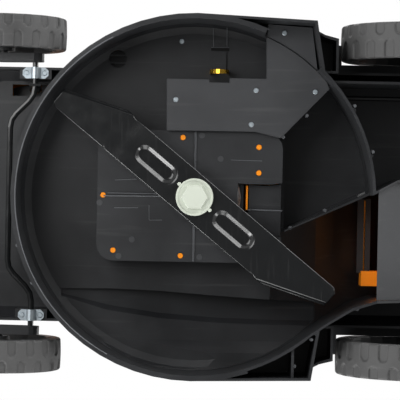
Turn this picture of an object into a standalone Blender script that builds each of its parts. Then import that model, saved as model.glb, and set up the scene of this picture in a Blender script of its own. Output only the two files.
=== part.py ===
"""A battery lawn mower, modelled as it comes apart: deck and covers, cutter, axles and wheels, hood, handle.

X points forward, Y to the mower's left and Z up, in metres. The pieces are made around the blade's axis, with
the ground at Z = 0. At the end the mower is moved so that the origin lies on the ground under the middle of it.
"""

import math

import bmesh
import bpy
from mathutils import Matrix, Vector

for old in list(bpy.data.objects):
    bpy.data.objects.remove(old, do_unlink=True)

# Cutter
BLADE_LENGTH = 0.402
BLADE_WIDTH = 0.0514
BLADE_THICK = 0.003
BLADE_Z = 0.045  # underside of the blade above the ground, at this cutting height
TIP_GAP = 0.0096  # blade tip to chamber wall
WING_RISE = 0.014
DIMPLE_PLACE = 0.060
DIMPLE_LONG = 0.061
DIMPLE_WIDE = 0.026
DIMPLE_DEEP = 0.0018
BLADE_TURN = math.radians(219.3)  # direction of one arm at rest, from +X towards +Y
HUB_R = 0.029
CAP_R = 0.022
CAP_FLANGE = 0.0035
HEX_R = 0.0155
HEX_HIGH = 0.009
SHAFT_R = 0.006

# Deck
WALL = 0.003
GAP = 0.0003  # between pieces that touch
RUN = 0.0004  # round a turning pin
RIM_Z = 0.028
CEILING_Z = 0.110
LIP = 0.0032
LIP_THICK = 0.004
LIP_FROM = 113  # degrees; behind this the skirts carry the edge
LIP_TO = 252
SHOULDER = 0.015
SKIRT_HALF = 0.2166
SKIRT_BACK = 0.141
SKIRT_TAPER_LEFT = 0.006
SKIRT_TAPER_RIGHT = 0.003
APRON_HALF = 0.152
APRON_FRONT = 0.290
APRON_LOW = 0.074
REAR_HALF = 0.155
REAR_BACK = 0.336
REAR_LOW = 0.105
REAR_TOP = 0.155
RAIL_HALF = 0.140  # inner wall on the left of the rear section
POCKET_TOP = 0.138
VANE_LOW = 0.072
BOSS_R = 0.0025

# Tunnel
TUNNEL_LEFT = 0.022
TUNNEL_RIGHT = 0.118
TUNNEL_BACK = 0.338
FLOOR_FRONT_X = -0.2175
FLOOR_FRONT_Z = 0.040
FLOOR_FLAT_X = -0.300
FLOOR_Z = 0.107
PLATE = 0.003

# Motor, its tray and the covers under the ceiling
TRAY_LOW = 0.078
TRAY_WALL = 0.0025
TRAY_FRONT = 0.117
TRAY_BACK = 0.105
TRAY_HALF = 0.0787
TRAY_CORNER = 0.020
COVER_LOW = 0.072
COVER_THICK = 0.0025
PEG_R = 0.00325
MOTOR_R = 0.056
MOTOR_HIGH = 0.066
ROTOR_R = 0.034

# Hood and battery bay
HOOD_WALL = 0.003
BAY_FRONT = -0.027
BAY_BACK = -0.137
BAY_HALF = 0.070
BAY_FLOOR = 0.153
HATCH_THICK = 0.004
HATCH_LIP = 0.008
HATCH_PIN_R = 0.002

# Wheels and axles
FRONT_WHEEL_R = 0.075
FRONT_WHEEL_X = 0.232
FRONT_TREAD = 0.040
FRONT_LUGS = 22
REAR_WHEEL_R = 0.100
REAR_WHEEL_X = -0.274
REAR_TREAD = 0.042
REAR_LUGS = 28
TRACK_OUT = 0.210  # outer face of each wheel from the middle
TYRE_DEEP = 0.0135
LUG_DEEP = 0.003
GROOVE_WIDE = 0.0052
STUB_R = 0.006
ARM_REACH = 0.0386  # crank arm, pivot to wheel axis
ARM_RISE = 0.005
ROD_R = 0.0035
CRANK_THROW = 0.029
CRANK_HALF = 0.089
CRANK_END = 0.118
CLIP_Y = 0.145
CLIP_WIDE = 0.0135
CLIP_LONG = 0.031
CLIP_THICK = 0.0018
TAB_HIGH = 0.030
TAB_Y = 0.129
LINK_R = 0.003
LINK_Y = 0.126
LINK_Z = 0.1475
LINK_EYE = 0.0058
LEVER_LONG = 0.115
LEVER_Y = 0.1565
LEVER_THICK = 0.005
ADJUST_STEP = math.radians(8.0)  # between two of the seven cutting heights

# Handle
FOLD_X = -0.300
FOLD_Z = 0.245
TUBE_R = 0.0125
TUBE_HALF = 0.135
LOWER_LONG = 0.480
UPPER_LONG = 0.380
GRIP_RUN = 0.100
TUBE_ANGLE = math.radians(132.0)  # direction of the tubes in the XZ plane, from +X
GRIP_ANGLE = math.radians(157.0)
TUBE_SPACE = 0.002
BOLT_R = 0.004
GRIP_WALL = 0.0036
GRIP_HALF = 0.105
BAIL_R = 0.004
BAIL_OPEN = math.radians(30.0)

CIRCLE = 60  # sides of the blade chamber
CHAMBER_R = BLADE_LENGTH / 2 + TIP_GAP
DRUM_R = CHAMBER_R + WALL
LIP_R = DRUM_R + LIP
DECK_TOP = CEILING_Z + WALL
FRONT_PIVOT = Vector((FRONT_WHEEL_X - ARM_REACH, 0, FRONT_WHEEL_R - ARM_RISE))
REAR_PIVOT = Vector((REAR_WHEEL_X - ARM_REACH, 0, REAR_WHEEL_R - ARM_RISE))
TUBE_WAY = Vector((math.cos(TUBE_ANGLE), 0, math.sin(TUBE_ANGLE)))
TUBE_NORMAL = Vector((math.sin(TUBE_ANGLE), 0, -math.cos(TUBE_ANGLE)))
GRIP_WAY = Vector((math.cos(GRIP_ANGLE), 0, math.sin(GRIP_ANGLE)))
FOLD = Vector((FOLD_X, 0, FOLD_Z))
ELBOW = FOLD + LOWER_LONG * TUBE_WAY
BEND = ELBOW + UPPER_LONG * TUBE_WAY
BAR = BEND + GRIP_RUN * GRIP_WAY
UPPER_HALF = TUBE_HALF + 2 * TUBE_R + TUBE_SPACE

collection = bpy.context.scene.collection
places = {}


# Materials
def finish(name, colour, roughness, metallic=0.0):
    material = bpy.data.materials.new(name)
    material.use_nodes = True
    shader = material.node_tree.nodes["Principled BSDF"]
    shader.inputs["Base Color"].default_value = (*colour, 1.0)
    shader.inputs["Roughness"].default_value = roughness
    shader.inputs["Metallic"].default_value = metallic
    return material


BLACK = finish("black_plastic", (0.018, 0.020, 0.021), 0.45)
DARK = finish("dark_grey_plastic", (0.056, 0.058, 0.061), 0.5)
GREY = finish("grey_plastic", (0.068, 0.070, 0.068), 0.5)
ORANGE = finish("orange_plastic", (0.87, 0.27, 0.01), 0.4)
TYRE = finish("tyre_grey", (0.11, 0.11, 0.11), 0.75)
SATIN_STEEL = finish("black_painted_steel", (0.012, 0.012, 0.012), 0.35)
ZINC = finish("zinc_plate", (0.45, 0.48, 0.50), 0.35, 1.0)
STEEL = finish("steel", (0.55, 0.55, 0.56), 0.3, 1.0)
BRASS = finish("brass", (0.75, 0.52, 0.10), 0.3, 1.0)
NYLON = finish("pale_nylon", (0.74, 0.80, 0.68), 0.5)
FOAM = finish("foam", (0.02, 0.02, 0.02), 0.9)


# Shapes
def add(name, mesh_data, material=None):
    """A closed mesh as an object, with its faces turned outwards."""
    bmesh.ops.recalc_face_normals(mesh_data, faces=mesh_data.faces)
    mesh = bpy.data.meshes.new(name)
    mesh_data.to_mesh(mesh)
    mesh_data.free()
    thing = bpy.data.objects.new(name, mesh)
    collection.objects.link(thing)
    if material:
        mesh.materials.append(material)
    return thing


def loft(name, rings, material=None):
    """A solid through rings of equally many points, closed at both ends."""
    shape = bmesh.new()
    loops = [[shape.verts.new(point) for point in ring] for ring in rings]
    count = len(loops[0])
    for first, second in zip(loops, loops[1:]):
        for here in range(count):
            there = (here + 1) % count
            shape.faces.new((first[here], first[there], second[there], second[here]))
    shape.faces.new(loops[0][::-1])
    shape.faces.new(loops[-1])
    return add(name, shape, material)


def prism(name, outline, low, high, material=None):
    """An (x, y) outline from one height to another."""
    return loft(name, [[(x, y, z) for x, y in outline] for z in (low, high)], material)


def side_prism(name, outline, low, high, material=None):
    """An (x, z) outline from one Y to another."""
    return loft(name, [[(x, y, z) for x, z in outline] for y in (low, high)], material)


def block(name, low, high, material=None):
    outline = [(low[0], low[1]), (high[0], low[1]), (high[0], high[1]), (low[0], high[1])]
    return prism(name, outline, low[2], high[2], material)


def turned(name, profile, centre, axis="Z", steps=24, material=None, ring=False, start=0.0):
    """A profile of (radius, height) turned round an axis through centre; ring closes it round a bore."""
    frames = {
        "X": (Vector((0, 1, 0)), Vector((0, 0, 1)), Vector((1, 0, 0))),
        "Y": (Vector((0, 0, 1)), Vector((1, 0, 0)), Vector((0, 1, 0))),
        "Z": (Vector((1, 0, 0)), Vector((0, 1, 0)), Vector((0, 0, 1))),
    }
    if isinstance(axis, str):
        across, along, up = frames[axis]
    else:
        up = Vector(axis).normalized()
        across = up.orthogonal().normalized()
        along = up.cross(across)
    centre = Vector(centre)
    shape = bmesh.new()
    rows = []
    for radius, height in profile:
        base = centre + height * up
        if radius < 1e-6:
            rows.append([shape.verts.new(base)])
            continue
        turns = [start + 2 * math.pi * k / steps for k in range(steps)]
        rows.append([
            shape.verts.new(base + radius * (math.cos(t) * across + math.sin(t) * along)) for t in turns
        ])
    pairs = list(zip(rows, rows[1:]))
    if ring:
        pairs.append((rows[-1], rows[0]))
    for first, second in pairs:
        for k in range(steps):
            nxt = (k + 1) % steps
            corners = [first[k % len(first)], first[nxt % len(first)]]
            corners += [second[nxt % len(second)], second[k % len(second)]]
            corners = list(dict.fromkeys(corners))
            if len(corners) > 2:
                shape.faces.new(corners)
    return add(name, shape, material)


def pin(name, centre, axis, radius, low, high, steps=12, material=None):
    return turned(name, [(0, low), (radius, low), (radius, high), (0, high)], centre, axis, steps, material)


def eased(points, bend, steps=3):
    """The path with each inner corner rounded, starting bend away from it."""
    points = [Vector(p) for p in points]
    path = [points[0]]
    for before, corner, after in zip(points, points[1:], points[2:]):
        start = corner + (before - corner).normalized() * bend
        end = corner + (after - corner).normalized() * bend
        for k in range(steps + 1):
            t = k / steps
            path.append((1 - t) ** 2 * start + 2 * t * (1 - t) * corner + t * t * end)
    path.append(points[-1])
    return path


def rod(name, path, radius, sides=10, material=None):
    """A round bar along a path."""
    path = [Vector(p) for p in path]
    ways = [(b - a).normalized() for a, b in zip(path, path[1:])]
    across = ways[0].orthogonal().normalized()
    rings = []
    for k, point in enumerate(path):
        before, after = ways[max(k - 1, 0)], ways[min(k, len(ways) - 1)]
        if k:
            across = before.rotation_difference(after) @ across if k < len(ways) else across
        way = (before + after).normalized()
        flat = (across - across.dot(way) * way).normalized()
        side = way.cross(flat)
        turns = [2 * math.pi * n / sides for n in range(sides)]
        rings.append([point + radius * (math.cos(t) * flat + math.sin(t) * side) for t in turns])
    return loft(name, rings, material)


def arc(centre, radius, start, end, steps):
    """Points from one angle to another, in degrees."""
    turns = [math.radians(start + (end - start) * k / steps) for k in range(steps + 1)]
    return [(centre[0] + radius * math.cos(t), centre[1] + radius * math.sin(t)) for t in turns]


def rounded(low, high, corner, steps=3):
    """A rectangle with rounded corners."""
    (x0, y0), (x1, y1) = low, high
    points = arc((x1 - corner, y1 - corner), corner, 0, 90, steps)
    points += arc((x0 + corner, y1 - corner), corner, 90, 180, steps)
    points += arc((x0 + corner, y0 + corner), corner, 180, 270, steps)
    return points + arc((x1 - corner, y0 + corner), corner, 270, 360, steps)


def combine(target, others, operation):
    """Joins others to the target, cuts them from it, or keeps what they share, and removes them."""
    for other in others:
        modifier = target.modifiers.new(operation.lower(), "BOOLEAN")
        modifier.operation = operation
        modifier.solver = "EXACT"
        modifier.object = other
    bpy.context.view_layer.update()
    seen = target.evaluated_get(bpy.context.evaluated_depsgraph_get())
    mesh = bpy.data.meshes.new_from_object(seen)
    target.modifiers.clear()
    target.data = mesh
    for other in others:
        bpy.data.objects.remove(other, do_unlink=True)
    return target


def join(target, *others):
    return combine(target, others, "UNION")


def cut(target, *others):
    return combine(target, others, "DIFFERENCE")


def shared(target, *others):
    return combine(target, others, "INTERSECT")


def joint(name, point, carrier=None):
    """An empty on a joint's axis, which carries what turns or slides there."""
    empty = bpy.data.objects.new(name, None)
    collection.objects.link(empty)
    places[name] = Vector(point)
    empty.parent = carrier
    empty.location = Vector(point) - (places[carrier.name] if carrier else Vector())
    return empty


def ride(carrier, *pieces):
    for piece in pieces:
        piece.data.transform(Matrix.Translation(-places[carrier.name]))
        piece.parent = carrier


def smooth(*pieces, angle=35):
    for piece in pieces:
        piece.data.shade_smooth()
        piece.data.set_sharp_from_angle(angle=math.radians(angle))


mower = joint("mower", (0, 0, 0))
SIDES = (("left", 1), ("right", -1))


# Deck
def apron(inset, lift):
    """The front apron's outer form, or its hollow when it is drawn in."""
    back, front, half = 0.1465, APRON_FRONT - inset, APRON_HALF - inset
    nose, top_inset = 0.040, 0.012

    def outline(more):
        side, tip = half - more, front - more
        points = [(back + inset, -side)] + arc((tip - nose, -side + nose), nose, 270, 360, 4)
        return points + arc((tip - nose, side - nose), nose, 0, 90, 4) + [(back + inset, side)]

    low = APRON_LOW - (0.02 if inset else 0)
    heights = ((low, 0), (DECK_TOP - SHOULDER - lift, 0), (DECK_TOP - lift, top_inset))
    return loft("apron", [[(x, y, z) for x, y in outline(more)] for z, more in heights])


def rear_box(inset):
    """The rear section between the wheels, or its hollow."""
    def outline(more):
        half, front, back = REAR_HALF - inset - more, -0.1475 - inset, -REAR_BACK + inset + more
        return [(front, -half), (front, half), (back, half), (back, -half)]

    low = REAR_LOW - (0.02 if inset else 0)
    heights = ((low, 0), (REAR_TOP - 0.012 - inset, 0), (REAR_TOP - inset, 0.010))
    return loft("rear_box", [[(x, y, z) for x, y in outline(more)] for z, more in heights])


def skirt(side, inset):
    """The deck's corner outside the round chamber."""
    taper = SKIRT_TAPER_LEFT if side > 0 else SKIRT_TAPER_RIGHT
    half, back, inner = SKIRT_HALF - inset, SKIRT_BACK - inset, 0.120 + inset
    points = [
        (-0.004, side * half), (-back, side * (half - taper)), (-back - 0.0115, side * (RAIL_HALF + 0.001)),
        (-back - 0.0115, side * inner), (-0.004, side * inner),
    ]
    low, high = (RIM_Z, DECK_TOP) if not inset else (0, CEILING_Z)
    return prism("skirt", points, low, high)


def fender(side):
    """The deck's shoulder in front of a rear wheel, open below."""
    outer = [(-0.1414, 0.2010), (-0.1516, 0.1957), (-0.1680, 0.1915), (-0.1680, 0.1500), (-0.1495, 0.1500)]
    inner = [(-0.1446, 0.1965), (-0.1522, 0.1925), (-0.1650, 0.1887), (-0.1650, 0.1530), (-0.1526, 0.1530)]
    form = prism("fender", [(x, side * y) for x, y in outer], 0.050, DECK_TOP - 0.0005)
    return cut(form, prism("hollow", [(x, side * y) for x, y in inner], 0.0, DECK_TOP - WALL - 0.0005))


def tunnel(grow):
    """The way out for the cut grass: its plan and its side view, kept where they meet."""
    plan = [
        (-0.0974, -0.045 + grow), (-0.2117, 0.0067 + grow), (-0.2414, TUNNEL_LEFT + grow),
        (-TUNNEL_BACK, TUNNEL_LEFT + grow), (-TUNNEL_BACK, -TUNNEL_RIGHT - grow),
        (-0.2175, -TUNNEL_RIGHT - grow), (-0.1891, -0.1272 - grow), (-0.161, -0.1443 - grow),
        (-0.118, -0.1737 - grow), (-0.092, -0.150 - grow),
    ]
    back = TUNNEL_BACK + (0 if grow else 0.01)
    if not grow:
        plan[3], plan[4] = (-back, TUNNEL_LEFT), (-back, -TUNNEL_RIGHT)
    roof = [(-0.080, 0.118), (-0.150, 0.140), (-0.204, 0.165), (-0.250, 0.190), (-back, 0.198)]
    roof = [(x, z + grow) for x, z in roof]
    if grow:
        slack = PLATE + 0.0025
        floor = [(-back, FLOOR_Z - slack), (FLOOR_FLAT_X, FLOOR_Z - slack)]
        floor += [(FLOOR_FRONT_X, RIM_Z), (-0.080, RIM_Z)]
    else:
        floor = [(-back, 0.0), (-0.080, 0.0)]
    return shared(prism("tunnel", plan, -0.01, 0.3), side_prism("side", roof + floor, -0.3, 0.3))


VOLUTE = (  # x, rise above the ceiling, inner edge and outer edge of the deepest band
    (0.160, 0.0030, 0.1140, 0.1200), (0.100, 0.0080, 0.1130, 0.1338), (0.040, 0.0140, 0.1148, 0.1424),
    (-0.030, 0.0224, 0.1195, 0.1474), (-0.090, 0.0293, 0.1228, 0.1490), (-0.150, 0.0360, 0.1265, 0.1495),
)
VOLUTE_KEEP = CHAMBER_R - 0.0004


def volute(grow):
    """The stepped ceiling on the right, which curves and climbs towards the tunnel."""
    rings = []
    for x, rise, near, far in VOLUTE:
        high = CEILING_Z + rise + grow
        ring = [
            (-near + grow, 0.100), (-near + grow, high), (-far, high), (-far - 0.006, high - 0.007),
            (-0.175, high - 0.010), (-0.189, high - 0.021), (-0.200, high - 0.023),
            (-0.225, high - 0.030), (-0.225, 0.070),
        ]
        rings.append([(x + (grow if x > 0.1 else 0), y, z) for y, z in ring])
    form = loft("volute", rings)
    flat = bmesh.new()
    flat.from_mesh(form.data)
    bmesh.ops.triangulate(flat, faces=flat.faces)
    flat.to_mesh(form.data)
    flat.free()
    return shared(form, pin("keep", (0, 0, 0), "Z", VOLUTE_KEEP + grow, 0.05, 0.2, CIRCLE))


def pocket(grow):
    """The deep part of the ceiling behind the motor, on the left of the tunnel."""
    radius = VOLUTE_KEEP + grow
    points = [(-0.109 + grow, 0.080 + grow), (-0.1575, 0.131 + 2 * grow)]
    points += arc((0, 0), radius, 139.2, 176.6, 7) + [(-0.109 + grow, -0.0368 - grow)]
    return prism("pocket", points, 0.080, POCKET_TOP + grow)


def tray_outline(inset):
    low = (-TRAY_BACK + inset, -TRAY_HALF + inset + 0.0007)
    high = (TRAY_FRONT - inset, TRAY_HALF - inset + 0.0007)
    return rounded(low, high, TRAY_CORNER - inset, 4)


PEGS = ((0.0152, 0.0714), (-0.0763, 0.0614), (-0.0766, 0.0305), (0.110, 0.0005), (0.0968, -0.0656),
        (0.0158, -0.0707))
COVER_SCREWS = ((0.0249, 0.1165), (-0.0713, 0.1294), (-0.0663, 0.0882), (-0.1424, 0.1291))
CORNER_SCREW = (-0.1040, 0.1989)
CHAMBER_BOSSES = (31.3, 16.9, -16.9, -28.9, 150.4, 165.8)  # degrees round the outside of the chamber
VENT = (0.0965, 0.1663)
VENT_R = 0.011


def build_deck():
    drum = turned("deck_shell", [
        (0, RIM_Z), (LIP_R, RIM_Z), (LIP_R, RIM_Z + LIP_THICK), (DRUM_R, RIM_Z + LIP_THICK),
        *arc((DRUM_R - SHOULDER, DECK_TOP - SHOULDER), SHOULDER, 0, 90, 2), (0, DECK_TOP),
    ], (0, 0, 0), "Z", CIRCLE, BLACK)
    outline = arc((0, 0), LIP_R + 0.002, LIP_FROM, LIP_TO, 28) + arc((0, 0), DRUM_R + 0.0004, LIP_TO, LIP_FROM, 28)
    cut(drum, prism("lip", outline, RIM_Z - 0.001, RIM_Z + LIP_THICK + 0.001))
    front = cut(apron(0, 0), apron(WALL, WALL))
    rear = cut(rear_box(0), rear_box(WALL))
    corners = [cut(skirt(side, 0), skirt(side, WALL)) for _, side in SIDES]
    rail = block("rail", (-0.290, RAIL_HALF - 0.0015, 0.050), (-0.152, RAIL_HALF + 0.0015, REAR_TOP - 0.001))
    rib = block("rib", (-0.121, -0.2125, 0.032), (-0.118, -0.176, CEILING_Z + 0.001))
    pads, towers = [], []
    for _, side in SIDES:
        for pivot, wall, top in ((FRONT_PIVOT, APRON_HALF, CEILING_Z), (REAR_PIVOT, REAR_HALF, REAR_TOP - WALL)):
            inner, outer = sorted((side * (CLIP_Y - 0.007), side * (wall - 0.001)))
            low, top = pivot.z + ROD_R + GAP + 0.0001, top + 0.001
            pads.append(block("pad", (pivot.x - 0.019, inner, low), (pivot.x + 0.019, outer, top)))
        towers.append(build_tower(side))
    cowl = pin("cowl", (*VENT, 0), "Z", VENT_R + 0.0025, CEILING_Z + 0.0005, DECK_TOP + 0.0095, 16)
    fenders = [fender(side) for _, side in SIDES]
    join(drum, front, rear, *corners, tunnel(WALL), volute(WALL), pocket(WALL), rail, rib, *pads, *towers,
         cowl, *fenders)

    bend = SHOULDER - WALL
    chamber = turned("chamber", [
        (0, 0), (CHAMBER_R, 0), *arc((CHAMBER_R - bend, CEILING_Z - bend), bend, 0, 90, 2), (0, CEILING_Z),
    ], (0, 0, 0), "Z", CIRCLE)
    well = prism("well", tray_outline(0.003), 0.100, 0.120)
    link_front = block("slot", (0.1755, LINK_Y - 0.007, 0.100), (0.224, LINK_Y + 0.007, 0.120))
    link_low = block("slot", (0.1731, LINK_Y - 0.0035, 0.087), (0.1870, LINK_Y + 0.0035, 0.1012))
    link_rear = block("slot", (-0.156, LINK_Y - 0.007, 0.139), (-0.145, LINK_Y + 0.007, 0.1515))
    vent = pin("vent", (*VENT, 0), "Z", VENT_R, 0.100, DECK_TOP + 0.0073, 16)
    louvre = block("louvre", (VENT[0] - 0.016, VENT[1] - 0.007, DECK_TOP + 0.0012),
                   (VENT[0] - 0.004, VENT[1] + 0.007, DECK_TOP + 0.0056))
    edge = arc((0, 0), 0.200, 112.4, 133.2, 5) + arc((0, 0), DRUM_R + 0.0016, 133.2, 112.4, 5)
    edge = prism("edge", edge, 0.0, COVER_LOW + COVER_THICK + GAP)
    cut(drum, chamber, volute(0), pocket(0), tunnel(0), well, link_front, link_low, link_rear, vent, louvre, edge)

    extras = [block("bar", (VENT[0] - VENT_R - 0.001, VENT[1] + y - 0.0009, CEILING_Z + 0.0004),
                    (VENT[0] + VENT_R + 0.001, VENT[1] + y + 0.0009, DECK_TOP - 0.0006)) for y in (-0.0046, 0.0046)]
    vane = [(-0.1087, -0.0394), (-0.2118, 0.0073), (-0.2118, 0.0105), (-0.1087, -0.0375)]
    extras.append(prism("vane", vane, VANE_LOW, CEILING_Z + 0.001))
    vane = [(-0.1086, 0.0803), (-0.1068, 0.0821), (-0.1600, 0.1378), (-0.1622, 0.1367)]
    extras.append(prism("vane", vane, COVER_LOW + COVER_THICK + GAP, CEILING_Z + 0.001))
    for x, y in (*COVER_SCREWS, CORNER_SCREW):
        low = COVER_LOW + COVER_THICK + GAP
        extras.append(pin("boss", (x, y, 0), "Z", 0.005, low, CEILING_Z + 0.001, 8))
    for angle in CHAMBER_BOSSES:
        turn = math.radians(angle)
        place = ((DRUM_R + 0.0004) * math.cos(turn), (DRUM_R + 0.0004) * math.sin(turn), 0)
        extras.append(pin("boss", place, "Z", BOSS_R, RIM_Z + 0.002, 0.094, 6))
    extras.append(pin("boss", (DRUM_R + 0.0004, 0.0015, 0), "Z", BOSS_R, RIM_Z + 0.002, 0.048, 6))
    for side_y in (-0.112, 0.016):
        ear = side_prism("ear", [(-0.3335, 0.1993), (-0.3335, 0.2115), (-0.3485, 0.2115), (-0.3485, 0.2030),
                                 (-0.3440, 0.1993)], side_y - 0.004, side_y + 0.004)
        extras.append(ear)
    join(drum, *extras)
    pin_hole = pin("hole", (-0.343, 0, 0.206), "Y", 0.0025, -0.12, 0.03, 10)
    holes = [pin("hole", FOLD, "Y", BOLT_R + RUN, -0.16, 0.16, 12), pin_hole]
    cut(drum, *holes)
    smooth(drum)
    ride(mower, drum)


def build_tower(side):
    """A moulded clevis for the handle's foot, on a post that rises from the deck's rear corner."""
    cheek, clear = 0.003, 0.001
    low, high = TUBE_HALF - TUBE_R - clear - cheek, TUBE_HALF + TUBE_R + clear + cheek
    top = FOLD_Z + 0.014
    outline = [(FOLD_X - 0.026, REAR_TOP - 0.002), (FOLD_X + 0.026, REAR_TOP - 0.002)]
    outline += arc((FOLD_X, FOLD_Z), 0.014, 0, 180, 6)
    inner, outer = sorted((side * low, side * high))
    tower = side_prism("tower", outline, inner, outer)
    inner, outer = sorted((side * (low + cheek), side * (high - cheek)))
    floor = FOLD_Z - 0.0195
    slot = block("slot", (FOLD_X - 0.04, inner, floor), (FOLD_X + 0.04, outer, top + 0.02))
    return cut(tower, slot)


build_deck()


# Covers under the ceiling
def build_tray():
    seat = CEILING_Z - GAP
    tray = prism("motor_well_cover", tray_outline(0), TRAY_LOW, seat, DARK)
    hollow = prism("hollow", tray_outline(TRAY_WALL), TRAY_LOW + TRAY_WALL, seat + 0.01)
    holes = [pin("hole", (x, y, 0), "Z", PEG_R + RUN, 0.07, 0.09, 12) for x, y in PEGS]
    holes.append(pin("hole", (0, 0, 0), "Z", 0.011, 0.07, 0.09, 16))
    window = block("window", (-0.100, -0.0165, 0.07), (-0.052, 0.017, 0.09))
    cut(tray, hollow, window, *holes)
    rib, deep = 0.0006, 0.0012
    ribs = [
        ((-rib, 0.034, 0), (rib, 0.0785, 0)), ((-rib, -0.077, 0), (rib, -0.037, 0)),
        ((0.043, 0.0025 - rib, 0), (0.1045, 0.0025 + rib, 0)),
    ]
    for low, high in ribs:
        join(tray, block("rib", (low[0], low[1], TRAY_LOW - deep), (high[0], high[1], TRAY_LOW + 0.001)))
    ride(mower, tray)


def build_covers():
    top = COVER_LOW + COVER_THICK
    edge_r = VOLUTE_KEEP - GAP
    low_angle = math.degrees(math.atan2(0.1415, -0.1555))
    outline = [
        (-0.0840, 0.1430), (-0.0396, 0.1430), (-0.0396, 0.1485), (-0.0145, 0.1485), (-0.0145, 0.1410),
        (0.0358, 0.1410), (0.0346, 0.0798), (-0.0709, 0.0802), (-0.1018, 0.0731), (-0.1585, 0.1325),
    ]
    outline += arc((0, 0), edge_r, low_angle, math.degrees(math.atan2(0.192, -0.0825)), 5)
    notch = outline[1:5]
    outline = [outline[0], notch[0], (-0.0396, 0.1375), (-0.0145, 0.1375), notch[3]] + outline[5:]
    plate = prism("side_cover_plate", outline, COVER_LOW, top, GREY)
    inner = CHAMBER_R + 0.0017
    corner = arc((0, 0), inner, 113.3, 132.6, 5) + [(-0.1370, 0.2055), (-0.0845, 0.2085)]
    corner_plate = prism("corner_cover", corner, COVER_LOW, top, GREY)
    ride(mower, plate, corner_plate)

    strip = 0.0008
    outer = [(-0.0385, CEILING_Z - GAP), (-0.0385, 0.088)]
    outer += [(x, 0.088 - 0.008 * math.sin(math.pi * (x + 0.0385) / 0.023)) for x in
              [-0.0385 + 0.023 * k / 6 for k in range(1, 6)]]
    outer += [(-0.0155, 0.088), (-0.0155, CEILING_Z - GAP)]
    inner = [(x + (strip if x < -0.03 else -strip if x > -0.02 else 0), z) for x, z in outer]
    inner = [(x, z + (0 if z > 0.1 else strip)) for x, z in inner]
    spring = side_prism("latch_spring", outer + inner[::-1], 0.1495, 0.1545, BRASS)
    ride(mower, spring)


def build_tunnel_floor():
    side = [
        (FLOOR_FRONT_X, FLOOR_FRONT_Z), (FLOOR_FLAT_X, FLOOR_Z), (-TUNNEL_BACK, FLOOR_Z),
        (-TUNNEL_BACK, FLOOR_Z - PLATE), (FLOOR_FLAT_X + 0.001, FLOOR_Z - PLATE),
        (FLOOR_FRONT_X, FLOOR_FRONT_Z - PLATE),
    ]
    plan = [
        (-0.2117, 0.0062), (-0.2414, TUNNEL_LEFT - 0.0005), (-TUNNEL_BACK, TUNNEL_LEFT - 0.0005),
        (-TUNNEL_BACK, -TUNNEL_RIGHT + GAP), (-0.2117, -TUNNEL_RIGHT + GAP),
    ]
    plate = prism("tunnel_floor_plate", plan, 0.0, 0.2, GREY)
    shared(plate, side_prism("side", side, -0.2, 0.2))
    plug_side = [
        (-0.2330, 0.0575), (-0.300, FLOOR_Z + 0.0012), (-0.3345, FLOOR_Z + 0.0012), (-0.3345, 0.1960),
        (-0.252, 0.1885), (-0.2330, 0.1780),
    ]
    plug = side_prism("mulch_plug", plug_side, -TUNNEL_RIGHT + 0.001, 0.0155, ORANGE)
    hollow_side = [(-0.236, 0.0645), (-0.300, 0.1125), (-0.345, 0.1125), (-0.345, 0.1920), (-0.253, 0.1850),
                   (-0.236, 0.1750)]
    cut(plug, side_prism("hollow", hollow_side, -TUNNEL_RIGHT + 0.004, 0.0125))
    lug = block("lug", (-0.2340, -0.104, 0.110), (-0.2045, -0.086, 0.145))
    fin = side_prism("fin", [(-0.2120, 0.1260), (-0.2095, 0.1260), (-0.2050, 0.1580), (-0.2075, 0.1580)],
                     -0.0875, 0.0000)
    join(plug, lug, fin)
    ride(mower, plate, plug)


build_tray()
build_covers()
build_tunnel_floor()


# Hood
HOOD = (  # x, half width at the base and at the top, shoulder height, top height
    (-0.1470, 0.142, 0.104, 0.166, 0.2365), (-0.1410, 0.142, 0.110, 0.168, 0.2400),
    (-0.0200, 0.142, 0.110, 0.168, 0.2400), (0.0600, 0.142, 0.104, 0.165, 0.2220),
    (0.1300, 0.142, 0.094, 0.160, 0.1900), (0.1900, 0.142, 0.086, 0.152, 0.1700),
    (0.2250, 0.138, 0.074, 0.146, 0.1600), (0.2500, 0.120, 0.060, 0.133, 0.1450),
    (0.2620, 0.100, 0.050, 0.124, 0.1340),
)


def hood_top(x):
    for first, second in zip(HOOD, HOOD[1:]):
        if first[0] <= x <= second[0]:
            share = (x - first[0]) / (second[0] - first[0])
            return first[4] + share * (second[4] - first[4])
    return HOOD[-1][4]


def hood_form(inset, base):
    rings = []
    for number, (x, half, top_half, shoulder, top) in enumerate(HOOD):
        if number == 0:
            x += inset
        if number == len(HOOD) - 1:
            x -= inset
        half, top_half, shoulder, top = half - inset, top_half - inset, shoulder - inset / 2, top - inset
        side = [
            (half, base), (half, shoulder - 0.010), (half - 0.005, shoulder),
            (top_half + 0.010, top - 0.010), (top_half, top - 0.002), (top_half - 0.014, top),
        ]
        ring = side + [(-y, z) for y, z in reversed(side)]
        rings.append([(x, y, z) for y, z in ring])
    return loft("hood", rings)


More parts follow.
